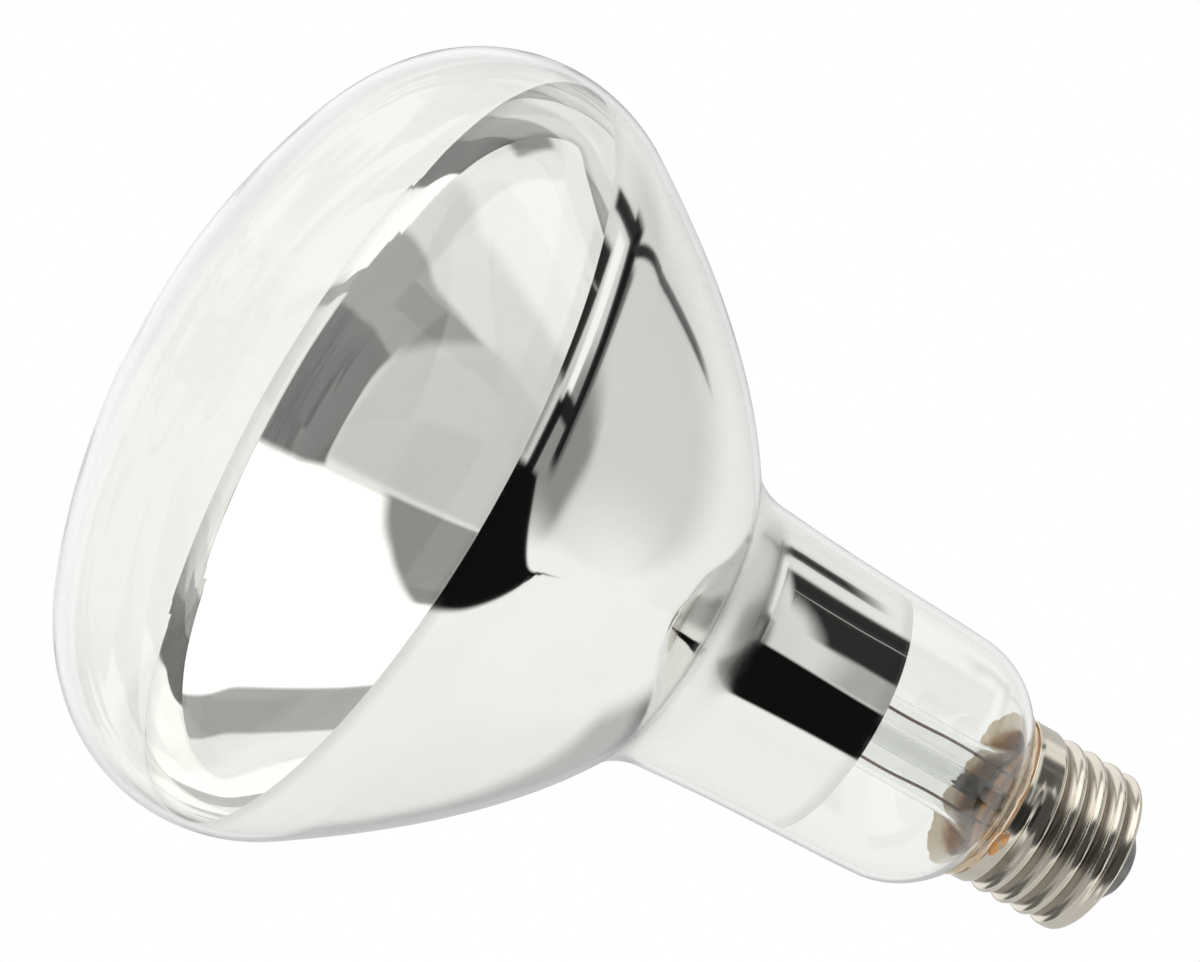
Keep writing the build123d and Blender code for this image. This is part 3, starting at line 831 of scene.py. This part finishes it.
def make_supports(mount):
    """Support wires: out of the button, down, and once round the coil as an open pigtail."""
    filament, button = mount_heights(mount)[:2]
    loop = mount.coil_radius + 0.2 * MM + mount.support_radius
    material = wire_metal("molybdenum", mount.molybdenum, 0.3)
    first = ring_ends(mount)[0]
    spacing = (TURN - mount.ring_gap) / mount.supports
    bend = 1.0 * MM
    knee = mount.ring_radius - loop
    corner = arc_points((knee - bend, button - bend), bend, math.pi / 2, 0, 9)[0]
    eye = arc_points((mount.ring_radius, filament), loop, math.pi, math.pi + math.radians(285), 30)[0]
    flat = np.concatenate([[[mount.button_radius * 0.4, button]], corner, eye])
    for index in range(mount.supports):
        number = str(index + 1)
        angle = first + spacing * (index + 0.5)
        path = about_axis(flat[:, 0], angle, flat[:, 1])
        sideways = (-math.sin(angle), math.cos(angle), 0)
        wire = tube(dense(path, 0.5 * MM), mount.support_radius, 12, sideways)
        make_piece("support_" + number, [grid(wire)], material, ["support_wire_" + number], 60)


def make_inner_leads(mount):
    """The two leads up to the stem's floor: nickel below the press with a crimp on the filament's tail, and
    an alloy length in the press."""
    filament, _, press_bottom, press_top, floor = mount_heights(mount)
    right_end, left_end = ring_ends(mount)
    nickel = wire_metal("nickel_wire", mount.nickel_wire, 0.25)
    alloy = wire_metal("seal_alloy", mount.seal_alloy, 0.3)
    for side, word, place in ((-1, "left", left_end), (1, "right", right_end)):
        x = side * mount.lead_spacing / 2
        along = side * np.array([math.sin(place), -math.cos(place), 0])
        end = about_axis(mount.ring_radius, place, filament)
        foot = end + along * 1.3 * MM
        corners = [(x, 0, press_bottom + LEAD_OVERLAP), (x, 0, press_bottom - 4 * MM), foot]
        wire = tube(dense(rounded_path(corners, 2 * MM), 0.8 * MM), mount.inner_lead, 16)
        flat = np.array([0.62, 0.95, 1.0, 1.0, 1.0, 0.95, 0.62])
        reach = np.array([0.0, 0.12, 0.3, 1.3, 2.3, 2.48, 2.6])[:, None] * MM
        crimp = tube(end + along * reach, 0.8 * MM * flat, 20)
        lead = [grid(wire), grid(crimp)]
        make_piece("inner_lead_wire_" + word, lead, nickel, ["inner_lead_" + word], 50)
        levels = (press_bottom + LEAD_OVERLAP, press_top, floor - LEAD_OVERLAP)
        sealed = tube(np.array([(x, 0, level) for level in levels]), 0.35 * MM)
        make_piece("sealed_wire_" + word, [grid(sealed)], alloy, ["seal_wire_" + word], 50)


def make_outer_leads(bulb, cap, mount):
    """Copper above the press: one wire to the centre contact, and one over the flare to the skirt's rim. Both
    wander a little, by sines of their height."""
    floor = mount_heights(mount)[-1]
    copper = wire_metal("copper_wire", mount.copper, 0.38, 1400)
    tip = bulb.seal_height + mount.exhaust_rise
    x = mount.lead_spacing / 2
    start = floor - LEAD_OVERLAP
    inner = [
        (-x, 0, start), (-x, 0, tip - mount.exhaust_radius), (0, 0, tip + 3 * mount.exhaust_radius),
        (0, 0, cad_high.z - cap.contact_proud),
    ]
    over = bulb.seal_height + mount.flare_rim + 1 * MM
    inside = bulb.collar_radius + 0.1 * MM + mount.outer_lead
    outside = cap.radius - cap.wall - 0.1 * MM - mount.outer_lead
    outer = [
        (x, 0, start), (x, 0, over), about_axis(inside, cap.solder_bearing, over),
        about_axis(inside, cap.solder_bearing, cap.rim_height + cap.thread_rise - cap.pitch / 2),
        about_axis(outside, cap.solder_bearing, cap.rim_height - 0.4 * MM),
    ]
    wander = 0.2 * MM
    for name, corners, bend, node in (
        ("centre_wire", inner, 2 * MM, "centre_lead"), ("side_wire", outer, 0.6 * MM, "side_lead"),
    ):
        path = dense(rounded_path(corners, bend), 1.2 * MM)
        up = path[:, 2]
        rise = np.clip((up - floor) / (20 * MM), 0, 1) * np.clip((over - 3 * MM - up) / (6 * MM), 0, 1)
        path[:, 1] += wander * rise * np.sin(up * 420)
        path[:, 0] += wander * rise * np.sin(up * 300 + 1.0)
        make_piece(name, [grid(tube(path, mount.outer_lead, 12))], copper, [node], 60)


# Screw cap


def thread_depth(cap, angle, height):
    """Depth of the round thread: two equal arcs from crest to root. The groove's middle rises one pitch in
    each turn, and the depth eases out at both ends."""
    half = cap.pitch / 2
    bow = (half ** 2 + cap.depth ** 2) / (4 * cap.depth)
    turn = ((angle - cap.thread_start) / TURN) % 1.0
    count = (height - cap.rim_height - cap.thread_rise) / cap.pitch - turn
    nearest = np.round(count)
    off = np.abs(count - nearest) * cap.pitch
    root = cap.depth - bow + np.sqrt(np.maximum(bow ** 2 - off ** 2, 0))
    crest = bow - np.sqrt(np.maximum(bow ** 2 - (half - off) ** 2, 0))
    depth = np.where(off < half / 2, root, crest)
    gone = nearest + turn
    rise = np.clip(gone / cap.fade, 0, 1)
    fall = np.clip((cap.thread_turns - gone) / cap.fade, 0, 1)
    return depth * rise * rise * (3 - 2 * rise) * fall * fall * (3 - 2 * fall)


def cap_heights(cap):
    """Start of the lip's rounding, and the lip's top."""
    top = shell_high.z
    return top - cap.lip_radius, top


def make_shell(cap):
    """Rolled shell: skirt and wall, quarter-round lip turned in to the opening, and the same moved in by the
    wall, with the thread's depth taken off the radius everywhere."""
    lip_start, top = cap_heights(cap)
    wall = cap.wall
    skirt = cap.rim_height + 0.25 * MM
    bend = (cap.radius - cap.lip_radius, lip_start)
    opening = (cap.opening_radius + wall / 2, top - wall / 2)

    def flared(radius, heights):
        """The wall at these heights, opened at the rim by a squared ramp."""
        flare = 0.12 * MM * np.clip(1 - (heights - cap.rim_height) / (1.2 * MM), 0, 1) ** 2
        return np.stack([radius + flare, heights], axis=1)

    outside = flared(cap.radius, np.linspace(skirt, lip_start, 150))
    lip = arc_points(bend, cap.lip_radius, 0, math.pi / 2, 14)[0]
    edge = arc_points(opening, wall / 2, math.pi / 2, 1.5 * math.pi, 8)[0]
    under = arc_points(bend, cap.lip_radius - wall, math.pi / 2, 0, 10)[0]
    inside = flared(cap.radius - wall, np.linspace(lip_start, skirt, 90))
    rim = arc_points(
        (cap.radius + 0.075 * MM - wall / 2, cap.rim_height + 0.2 * MM), wall / 2, math.pi, TURN, 8
    )[0]
    section = np.concatenate([outside, lip[1:], edge, under, inside[1:], rim])
    surface = turned(section, 288, lambda angle, height: -thread_depth(cap, angle, height))
    shell = grid(surface, close_rows=True)
    make_piece("threaded_shell", [shell], rolled_nickel(cap), ["cap_shell"], 50)


def make_insulator(cap):
    """Glass cone inside the lip: one half section, turned."""
    lip_start, top = cap_heights(cap)
    end = cad_high.z - cap.contact_proud
    bottom = lip_start - cap.insulator_depth
    inner = cap.radius - cap.depth - cap.wall - 0.15 * MM
    seat = top - cap.wall - 0.05 * MM
    opening = cap.opening_radius - 0.02 * MM
    bend = 1.0 * MM
    shoulder = arc_points(
        (cap.insulator_end - bend, end - bend), bend, math.radians(40), math.pi / 2, 10
    )[0]
    rise = np.linspace(0, 1, 12)[1:-1, None]
    foot = np.array([opening - 0.1 * MM, top + 0.18 * MM])
    slope = foot * (1 - rise) + shoulder[0] * rise
    slope[:, 0] += 0.12 * MM * np.sin(rise[:, 0] * math.pi)
    rest = cap.contact_radius + 0.05 * MM
    pocket = end - 0.5 * MM
    section = np.concatenate([
        [[0, bottom], [inner * 0.9, bottom], [inner, bottom + 0.6 * MM], [inner, lip_start]],
        [[cap.radius - cap.lip_radius, seat], [opening + 0.02 * MM, seat], [opening, top - 0.02 * MM]],
        [foot], slope, shoulder, [[rest, end], [rest, pocket], [0, pocket]],
    ])

    def sag(angle, height):
        """Slow waves round the cone, none at the lip or at its end."""
        lift = np.clip((height - top) / (end - top), 0, 1) * np.clip((end - height) / (0.8 * MM), 0, 1)
        return 0.10 * MM * lift * (np.sin(2 * angle + 0.6) + 0.6 * np.sin(3 * angle + 2.2))

    cone = grid(turned(section, 192, sag))
    make_piece("insulator", [cone], poured_glass(cap), ["cap_insulator"], 40)


def make_contact(cap):
    """The brass disc with its eyelet, and the solder in the eyelet's mouth: two half sections, turned."""
    face = cad_high.z
    disc = cap.contact_radius
    eyelet = 1.6 * MM
    mouth = 0.9 * MM
    tail = cap_heights(cap)[0] - cap.insulator_depth - 0.4 * MM
    under = face - cap.contact_thickness
    section = np.array([
        [mouth, tail], [eyelet, tail], [eyelet, under],
        [disc - 0.1 * MM, under], [disc, face - cap.contact_thickness * 0.7],
        [disc, face - 0.22 * MM], [disc - 0.07 * MM, face - 0.07 * MM], [disc - 0.22 * MM, face],
        [eyelet * 1.35, face], [mouth * 1.25, face - 0.12 * MM], [mouth, face - 0.35 * MM],
    ])
    brass = wire_metal("contact_brass", cap.brass, 0.22, 700)
    ring = grid(turned(section, 96), close_rows=True)
    make_piece("contact_disc", [ring], brass, ["centre_contact"], 35)
    dome = np.array([
        [0, face - 2.5 * MM], [mouth * 0.98, face - 2.5 * MM], [mouth * 0.98, face - 0.4 * MM],
        [mouth * 0.9, face - 0.24 * MM], [mouth * 0.65, face - 0.12 * MM], [mouth * 0.3, face - 0.05 * MM],
        [0, face - 0.03 * MM],
    ])
    tin = wire_metal("solder", cap.solder, 0.35, 1200)
    make_piece("contact_solder", [grid(turned(dome, 48))], tin, ["centre_solder"], 50)


def make_cement(bulb, cap, mount):
    """Cement between collar and skirt: it follows the glass outside on one side and the shell's inside on the
    other, with a ragged fringe on the shoulder below the skirt's rim."""
    outline = bulb_outline(bulb, -0.04 * MM)
    low = cap.rim_height - 1.5 * MM
    glass = between(outline, low, bulb.seal_height - 0.05 * MM)
    levels = np.linspace(low, glass[-1, 1], 26)
    glass = np.stack([np.interp(levels, glass[:, 1], glass[:, 0]), levels], axis=1)
    over = np.array([
        [bulb.collar_radius + 0.3 * MM, bulb.seal_height + mount.flare_rim + 0.2 * MM],
        [bulb.collar_radius - 1.6 * MM, bulb.seal_height + mount.flare_rim + 0.3 * MM],
        [bulb.collar_radius - 2.0 * MM, cap.rim_height + cap.cement_depth - 0.3 * MM],
    ])
    skin = cap.radius - cap.wall - 0.03 * MM
    groove = skin - cap.depth
    thread = cap.rim_height + cap.thread_rise
    outer = np.array([
        [groove, cap.rim_height + cap.cement_depth], [groove, thread - 1.0 * MM],
        [skin, thread - 2.3 * MM], [skin, cap.rim_height + 0.1 * MM],
        [skin - 0.25 * MM, cap.rim_height - 0.25 * MM],
    ])
    part = np.linspace(0, 1, 6)[1:-1, None]
    fringe = outer[-1] * (1 - part) + glass[0] * part
    fringe[:, 0] += 0.35 * MM * np.sin(part[:, 0] * math.pi)
    section = np.concatenate([outer, fringe, glass, over])
    columns = 240
    angle = np.linspace(0, TURN, columns, endpoint=False)
    ragged = (
        0.55 * np.sin(2 * angle + 0.4) + 0.4 * np.sin(5 * angle + 2.0) + 0.3 * np.sin(11 * angle + 0.9)
        + 0.18 * np.sin(23 * angle + 3.1) + 0.12 * np.sin(41 * angle + 1.7)
    )
    spread = np.clip(0.55 + 0.45 * ragged, 0.05, 1.4)
    surface = turned(section[::-1], columns)
    reach = 1.4 * MM
    hang = np.clip((cap.rim_height - 0.1 * MM - surface[..., 2]) / reach, 0, 1)
    surface[..., 2] += hang * (1 - spread[None, :]) * reach
    radius = np.hypot(surface[..., 0], surface[..., 1])
    on_glass = np.interp(surface[..., 2], outline[:, 1], outline[:, 0])
    lift = np.where(hang > 0, np.maximum(radius, on_glass), radius) / radius
    surface[..., :2] *= lift[..., None]
    ring = grid(surface, close_rows=True)
    make_piece("cement_ring", [ring], baked_cement(cap), ["basing_cement"], 60)


def make_side_solder(cap):
    """A flattened drop over the skirt's rim where the side wire ends: a cap of a sphere, squashed on the
    shell, with an uneven edge."""
    around = np.linspace(0, TURN, 48, endpoint=False)[None, :]
    out = np.linspace(1, 0, 14)[:, None]
    edge = 1 + 0.12 * np.sin(3 * around + 1.0) + 0.08 * np.sin(5 * around + 0.3)
    half_width, half_height, crown = 2.3 * MM, 1.1 * MM, 0.42 * MM
    across = half_width * out * edge * np.cos(around)
    along = half_height * out * edge * np.sin(around) + cap.rim_height + 0.35 * MM
    proud = crown * np.sqrt(np.maximum(1 - out ** 2, 0)) + 0.02 * MM
    angle = cap.solder_bearing + across / cap.radius
    below = np.clip((cap.rim_height - along) / (0.7 * MM), 0, 1)
    radius = cap.radius + 0.1 * MM + proud - below * 0.6 * MM
    front = about_axis(radius, angle, along)
    back = about_axis(radius - proud - 0.25 * MM, angle, along)[::-1]
    surface = np.concatenate([back, front])
    make_piece("side_solder_drop", [grid(surface)], fluxed_solder(cap), ["side_solder"], 60)


# Stage


def make_camera(stage):
    """Camera below the lamp's axis, turned about its line of sight as in the photograph."""
    sine, cosine = math.sin(stage.tilt), math.cos(stage.tilt)
    roll_sine, roll_cosine = math.sin(stage.roll), math.cos(stage.roll)
    ahead = np.array([0, cosine, sine])
    right = np.array([-roll_sine, -sine * roll_cosine, cosine * roll_cosine])
    down = np.array([roll_cosine, -sine * roll_sine, cosine * roll_sine])
    aim = np.array([0, 0, stage.aim_height]) + stage.shift_right * right + stage.shift_down * down
    place = aim - stage.distance * ahead
    data = bpy.data.cameras.new("camera")
    data.lens = stage.lens
    data.sensor_width = 36
    data.sensor_fit = "HORIZONTAL"
    data.clip_start = 0.01
    data.clip_end = 100
    camera = bpy.data.objects.new("camera", data)
    matrix = Matrix.Identity(4)
    for row in range(3):
        matrix[row][0] = right[row]
        matrix[row][1] = -down[row]
        matrix[row][2] = -ahead[row]
        matrix[row][3] = place[row]
    camera.matrix_world = matrix
    bpy.context.scene.collection.objects.link(camera)
    bpy.context.scene.camera = camera


def make_floor(stage):
    """Pale floor under the lamp. Its underside is clear, because the photograph looks up from below it."""
    half = stage.floor_size / 2
    level = -0.05 * MM
    corners = np.array([
        [(-half, -half, level), (half, -half, level)], [(-half, half, level), (half, half, level)],
    ])
    points, quads = grid(corners, close_columns=False)
    mesh = bpy.data.meshes.new("floor")
    mesh.from_pydata(points, [], quads.tolist())
    finish = Finish(bpy.data.materials.new("floor"))
    speckle = finish.noise(60, 3.0)
    pale = rgba(stage.floor_colour)
    tint = finish.blend(speckle, pale, rgba(stage.floor_colour, 0.985))
    matt = finish.principled(Base_Color=tint, Roughness=0.8)
    clear = finish.node("ShaderNodeBsdfTransparent")
    under = finish.node("ShaderNodeNewGeometry", output="Backfacing")
    mesh.materials.append(finish.close(finish.mix(under, matt, clear)))
    floor = bpy.data.objects.new("floor", mesh)
    floor.visible_glossy = False
    floor.visible_transmission = False
    bpy.context.scene.collection.objects.link(floor)


# Panels that metal and glass reflect. Each has its name, its bearings from -Y towards +X and its heights
# above the horizon in degrees, the width of the soft edge in each, how far it leans (bearing per degree of
# height) and climbs (height per degree of bearing), and its level, where 1 is white. The cards stand close
# to the cap.
STUDIO = (
    ("pale wall on the left", (-142, -5), (26, 82), (24, 20), 0, 0, 0.72),
    ("grey wall on the left", (-60, -6), (33, 72), (26, 12), 0, 0, 0.30),
    ("grey post behind the right", (164, 190), (20, 60), (8, 12), -0.5, 0, 0.52),
    ("dark post behind the right", (169.5, 179), (33, 56), (6, 10), -0.5, 0, 0.07),
    ("grey top of the beam", (-101, -22), (36.5, 42), (10, 2.2), 0, 0.125, 0.14),
    ("dark beam on the left", (-118, -24), (33, 37.6), (8, 1.4), 0, 0.125, 0.012),
    ("strip light under the beam", (-99, -37), (28.8, 33.4), (6, 1.2), 0, 0.06, 1.05),
    ("post under the beam", (-43, -35), (33, 44), (3, 2), 0, 0, 0.02),
    ("foot of the flag", (-39, -13), (30.5, 36.5), (3, 1.6), 0, 0, 0.012),
    ("dark post on the left", (-113, -103), (24, 36), (3, 2), 0, 0, 0.03),
    ("dark rail low on the left", (-90, -42), (16, 28.3), (5, 1.2), 0, -0.005, 0.03),
    ("seam in the rail", (-74.6, -73.4), (16, 27.8), (0.9, 1), 0, 0, 0.40),
    ("grey gap beside the rail", (-44, -18), (16, 27), (5, 3), 0, 0, 0.45),
    ("beam behind the left", (-141, -104), (47.2, 50.4), (5, 1.6), 0, -0.29, 0.04),
    ("large soft light low on the left", (-97, -16), (-52, -1), (2, 2), 0, 0, 1.40),
    ("edge of the soft light", (-115, -97), (-60, -1), (2, 3), 0, 0, 0.40),
    ("edge under the soft light", (-60, -14), (-90, -50.5), (3, 1.5), 0, 0, 0.28),
    ("soft light low on the right", (56, 83), (-90, -1), (8, 3), 0, 0, 0.75),
    ("grey side of the table", (26, 58), (-49, -1), (4, 2), 0, 0, 0.30),
    ("dark room behind the camera", (-15, 30), (-44.5, -1), (3, 1.5), 0, 0, 0.065),
    ("table in front", (-12, 60), (-90, -44.5), (5, 1.5), 0, 0, 0.66),
    ("gap low on the right", (106, 122), (-12, -1), (4, 4), 0, 0, 0.30),
)
CARDS = (
    ("grey wall behind the cap", (-180, -122), (10, 84), (10, 8), 0, 0, 0.58),
    ("grey wall right of the cap", (40, 176), (4, 62), (12, 10), 0, 0, 0.60),
    ("grey floor right of the cap", (32, 136), (-90, 0), (10, 8), 0, 0, 0.44),
    ("dark floor behind the cap", (102, 140), (-60, 0), (10, 8), 0, 0, 0.15),
    ("card on the cap's near side", (-40, 31), (-84, 24), (10, 6), 0, 0, 0.07),
)
FLAG_BEARINGS = (-17, 30.5)
FLAG_KNEE = 41
FLAG_LEANS = (1.1, -0.05)
FLAG_FOOT = 20
FLAG_SOFT = 1.5
FOOT_SOFT = 2
FLAG_LEVEL = 0.006
MATT_LEVEL = 0.7


def studio_level(finish, bare):
    """Brightness of the surroundings in each direction: every panel covers the ones before it, and a black
    flag whose sides lean together above its knee stands in front. The cards stand so near to the cap that
    only bare metal reflects them."""
    x, y, z = split(finish, finish.node("ShaderNodeTexCoord", output="Generated"))
    around = x.math("ARCTAN2", x, 0 - y) * math.degrees(1)
    height = x.math("ARCSINE", z) * math.degrees(1)

    def window(value, span, soft):
        """1 inside a span and 0 outside it, with soft edges."""
        opening = finish.steps(span[0] - soft / 2, span[0] + soft / 2, value)
        return opening * finish.steps(span[1] + soft / 2, span[1] - soft / 2, value)

    level = 1.0
    for panel in STUDIO + CARDS:
        bearings, heights, soft, lean, climb, brightness = panel[1:]
        across = around - (height - heights[0]) * lean if lean else around
        up = height - (around - bearings[0]) * climb if climb else height
        cover = window(across, bearings, soft[0]) * window(up, heights, soft[1])
        if panel in CARDS:
            cover = cover * bare
        level = level + cover * (brightness - level)
    above = x.math("MAXIMUM", height - FLAG_KNEE, 0)
    left = around - above * FLAG_LEANS[0] - FLAG_BEARINGS[0]
    right = around - above * FLAG_LEANS[1] - FLAG_BEARINGS[1]
    cover = finish.steps(-FLAG_SOFT, FLAG_SOFT, left) * finish.steps(FLAG_SOFT, -FLAG_SOFT, right)
    cover = cover * finish.steps(FLAG_FOOT - FOOT_SOFT, FLAG_FOOT + FOOT_SOFT, height)
    return level + cover * (FLAG_LEVEL - level)


def make_world():
    """White for what is seen directly or through glass, the studio for what metal and glass reflect, and a
    plain level for matt surfaces."""
    world = bpy.data.worlds.new("world")
    bpy.context.scene.world = world
    finish = Finish(world, "ShaderNodeOutputWorld")
    matt = finish.node("ShaderNodeLightPath", output="Is Diffuse Ray")
    reflected = matt.math("MINIMUM", finish.node("ShaderNodeLightPath", output="Glossy Depth"), 1)
    walls = finish.node("ShaderNodeLightPath", output="Transmission Depth")
    studio = finish.background(studio_level(finish, walls.math("LESS_THAN", walls, 0.5)))
    seen = finish.mix(reflected, finish.background(1), studio)
    finish.close(finish.mix(matt, seen, finish.background(MATT_LEVEL)))


def make_lamp(name, place, size, power):
    """Soft square lamp that faces the middle of the object."""
    data = bpy.data.lights.new(name, "AREA")
    data.shape = "SQUARE"
    data.size = size
    data.energy = power
    lamp = bpy.data.objects.new(name, data)
    lamp.visible_glossy = False
    lamp.visible_transmission = False
    middle = (cad_low + cad_high) / 2
    lamp.location = place
    lamp.rotation_euler = (middle - lamp.location).to_track_quat("-Z", "Y").to_euler()
    bpy.context.scene.collection.objects.link(lamp)


# Add-on


class LampOperator(bpy.types.Operator):
    """Options that the lamp's operators share."""

    bl_options = {"REGISTER", "UNDO"}


class BlowBulb(LampOperator):
    """Blow the glass bulb with its crowned face, bowl, neck and collar"""

    bl_idname = "lamp.blow_bulb"
    bl_label = "Blow Bulb"

    def execute(self, context):
        make_envelope(context.scene.lamp_bulb)
        return {"FINISHED"}


class DepositMirror(LampOperator):
    """Deposit the mirror layer inside the bowl and the neck"""

    bl_idname = "lamp.deposit_mirror"
    bl_label = "Deposit Mirror"

    def execute(self, context):
        make_mirror(context.scene.lamp_bulb)
        return {"FINISHED"}


class PressStem(LampOperator):
    """Press the glass stem with its flare, exhaust tube, rod and button"""

    bl_idname = "lamp.press_stem"
    bl_label = "Press Stem"

    def execute(self, context):
        scene = context.scene
        make_stem(scene.lamp_bulb, scene.lamp_mount)
        return {"FINISHED"}


class CoilFilament(LampOperator):
    """Coil the filament and hang it on its support wires"""

    bl_idname = "lamp.coil_filament"
    bl_label = "Coil Filament"

    def execute(self, context):
        scene = context.scene
        make_filament(scene.lamp_mount)
        make_supports(scene.lamp_mount)
        return {"FINISHED"}


class DrawLeads(LampOperator):
    """Draw the lead wires from the filament to the cap"""

    bl_idname = "lamp.draw_leads"
    bl_label = "Draw Leads"

    def execute(self, context):
        scene = context.scene
        make_inner_leads(scene.lamp_mount)
        make_outer_leads(scene.lamp_bulb, scene.lamp_cap, scene.lamp_mount)
        return {"FINISHED"}


class RollShell(LampOperator):
    """Roll the cap's shell with its round thread and lip"""

    bl_idname = "lamp.roll_shell"
    bl_label = "Roll Shell"

    def execute(self, context):
        make_shell(context.scene.lamp_cap)
        return {"FINISHED"}


class PourInsulator(LampOperator):
    """Pour the black glass and set the centre contact with its solder"""

    bl_idname = "lamp.pour_insulator"
    bl_label = "Pour Insulator"

    def execute(self, context):
        make_insulator(context.scene.lamp_cap)
        make_contact(context.scene.lamp_cap)
        return {"FINISHED"}


class BakeCement(LampOperator):
    """Bake the cement ring between glass and cap"""

    bl_idname = "lamp.bake_cement"
    bl_label = "Bake Cement"

    def execute(self, context):
        scene = context.scene
        make_cement(scene.lamp_bulb, scene.lamp_cap, scene.lamp_mount)
        return {"FINISHED"}


class SolderSide(LampOperator):
    """Solder the side wire to the skirt's rim"""

    bl_idname = "lamp.solder_side"
    bl_label = "Solder Side Wire"

    def execute(self, context):
        make_side_solder(context.scene.lamp_cap)
        return {"FINISHED"}


class SetStage(LampOperator):
    """Set the floor, the light and the camera"""

    bl_idname = "lamp.set_stage"
    bl_label = "Set Stage"

    def execute(self, context):
        scene = context.scene
        stage = scene.lamp_stage
        make_floor(stage)
        make_world()
        make_lamp("key", place=(0.9, -1.2, 1.3), size=1.2, power=14)
        make_lamp("fill", place=(-1.3, 0.6, 0.9), size=1.4, power=8)
        make_camera(stage)
        scene.view_settings.view_transform = "Standard"
        scene.cycles.blur_glossy = 0
        scene.cycles.max_bounces = 14
        scene.cycles.glossy_bounces = 7
        scene.cycles.transmission_bounces = 13
        scene.cycles.transparent_max_bounces = 8
        return {"FINISHED"}


OPERATORS = (
    BlowBulb, DepositMirror, PressStem, CoilFilament, DrawLeads,
    RollShell, PourInsulator, BakeCement, SolderSide, SetStage,
)


class LampPanel(bpy.types.Panel):
    """Panel with the lamp's steps and settings"""

    bl_idname = "VIEW3D_PT_lamp"
    bl_label = "Reflector Heat Lamp"
    bl_space_type = "VIEW_3D"
    bl_region_type = "UI"
    bl_category = "Lamp"

    def draw(self, context):
        for step in OPERATORS:
            self.layout.operator(step.bl_idname)
        for group in GROUPS:
            settings = getattr(context.scene, group)
            box = self.layout.box()
            for name in settings.__annotations__:
                box.prop(settings, name)


GROUPS = {
    "lamp_bulb": BulbSettings,
    "lamp_mount": MountSettings,
    "lamp_cap": CapSettings,
    "lamp_stage": StageSettings,
}
CLASSES = (*GROUPS.values(), *OPERATORS, LampPanel)


def register():
    """Registers the classes and hangs the groups of settings on the scene."""
    for kind in CLASSES:
        bpy.utils.register_class(kind)
    for name, kind in GROUPS.items():
        setattr(bpy.types.Scene, name, bpy.props.PointerProperty(type=kind))


def unregister():
    """Takes the settings and the classes off again."""
    for name in GROUPS:
        delattr(bpy.types.Scene, name)
    for kind in reversed(CLASSES):
        bpy.utils.unregister_class(kind)


def main():
    """Registers the add-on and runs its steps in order."""
    register()
    bpy.ops.lamp.blow_bulb()
    bpy.ops.lamp.deposit_mirror()
    bpy.ops.lamp.press_stem()
    bpy.ops.lamp.coil_filament()
    bpy.ops.lamp.draw_leads()
    bpy.ops.lamp.roll_shell()
    bpy.ops.lamp.pour_insulator()
    bpy.ops.lamp.bake_cement()
    bpy.ops.lamp.solder_side()
    bpy.ops.lamp.set_stage()


if __name__ == "__main__":
    main()
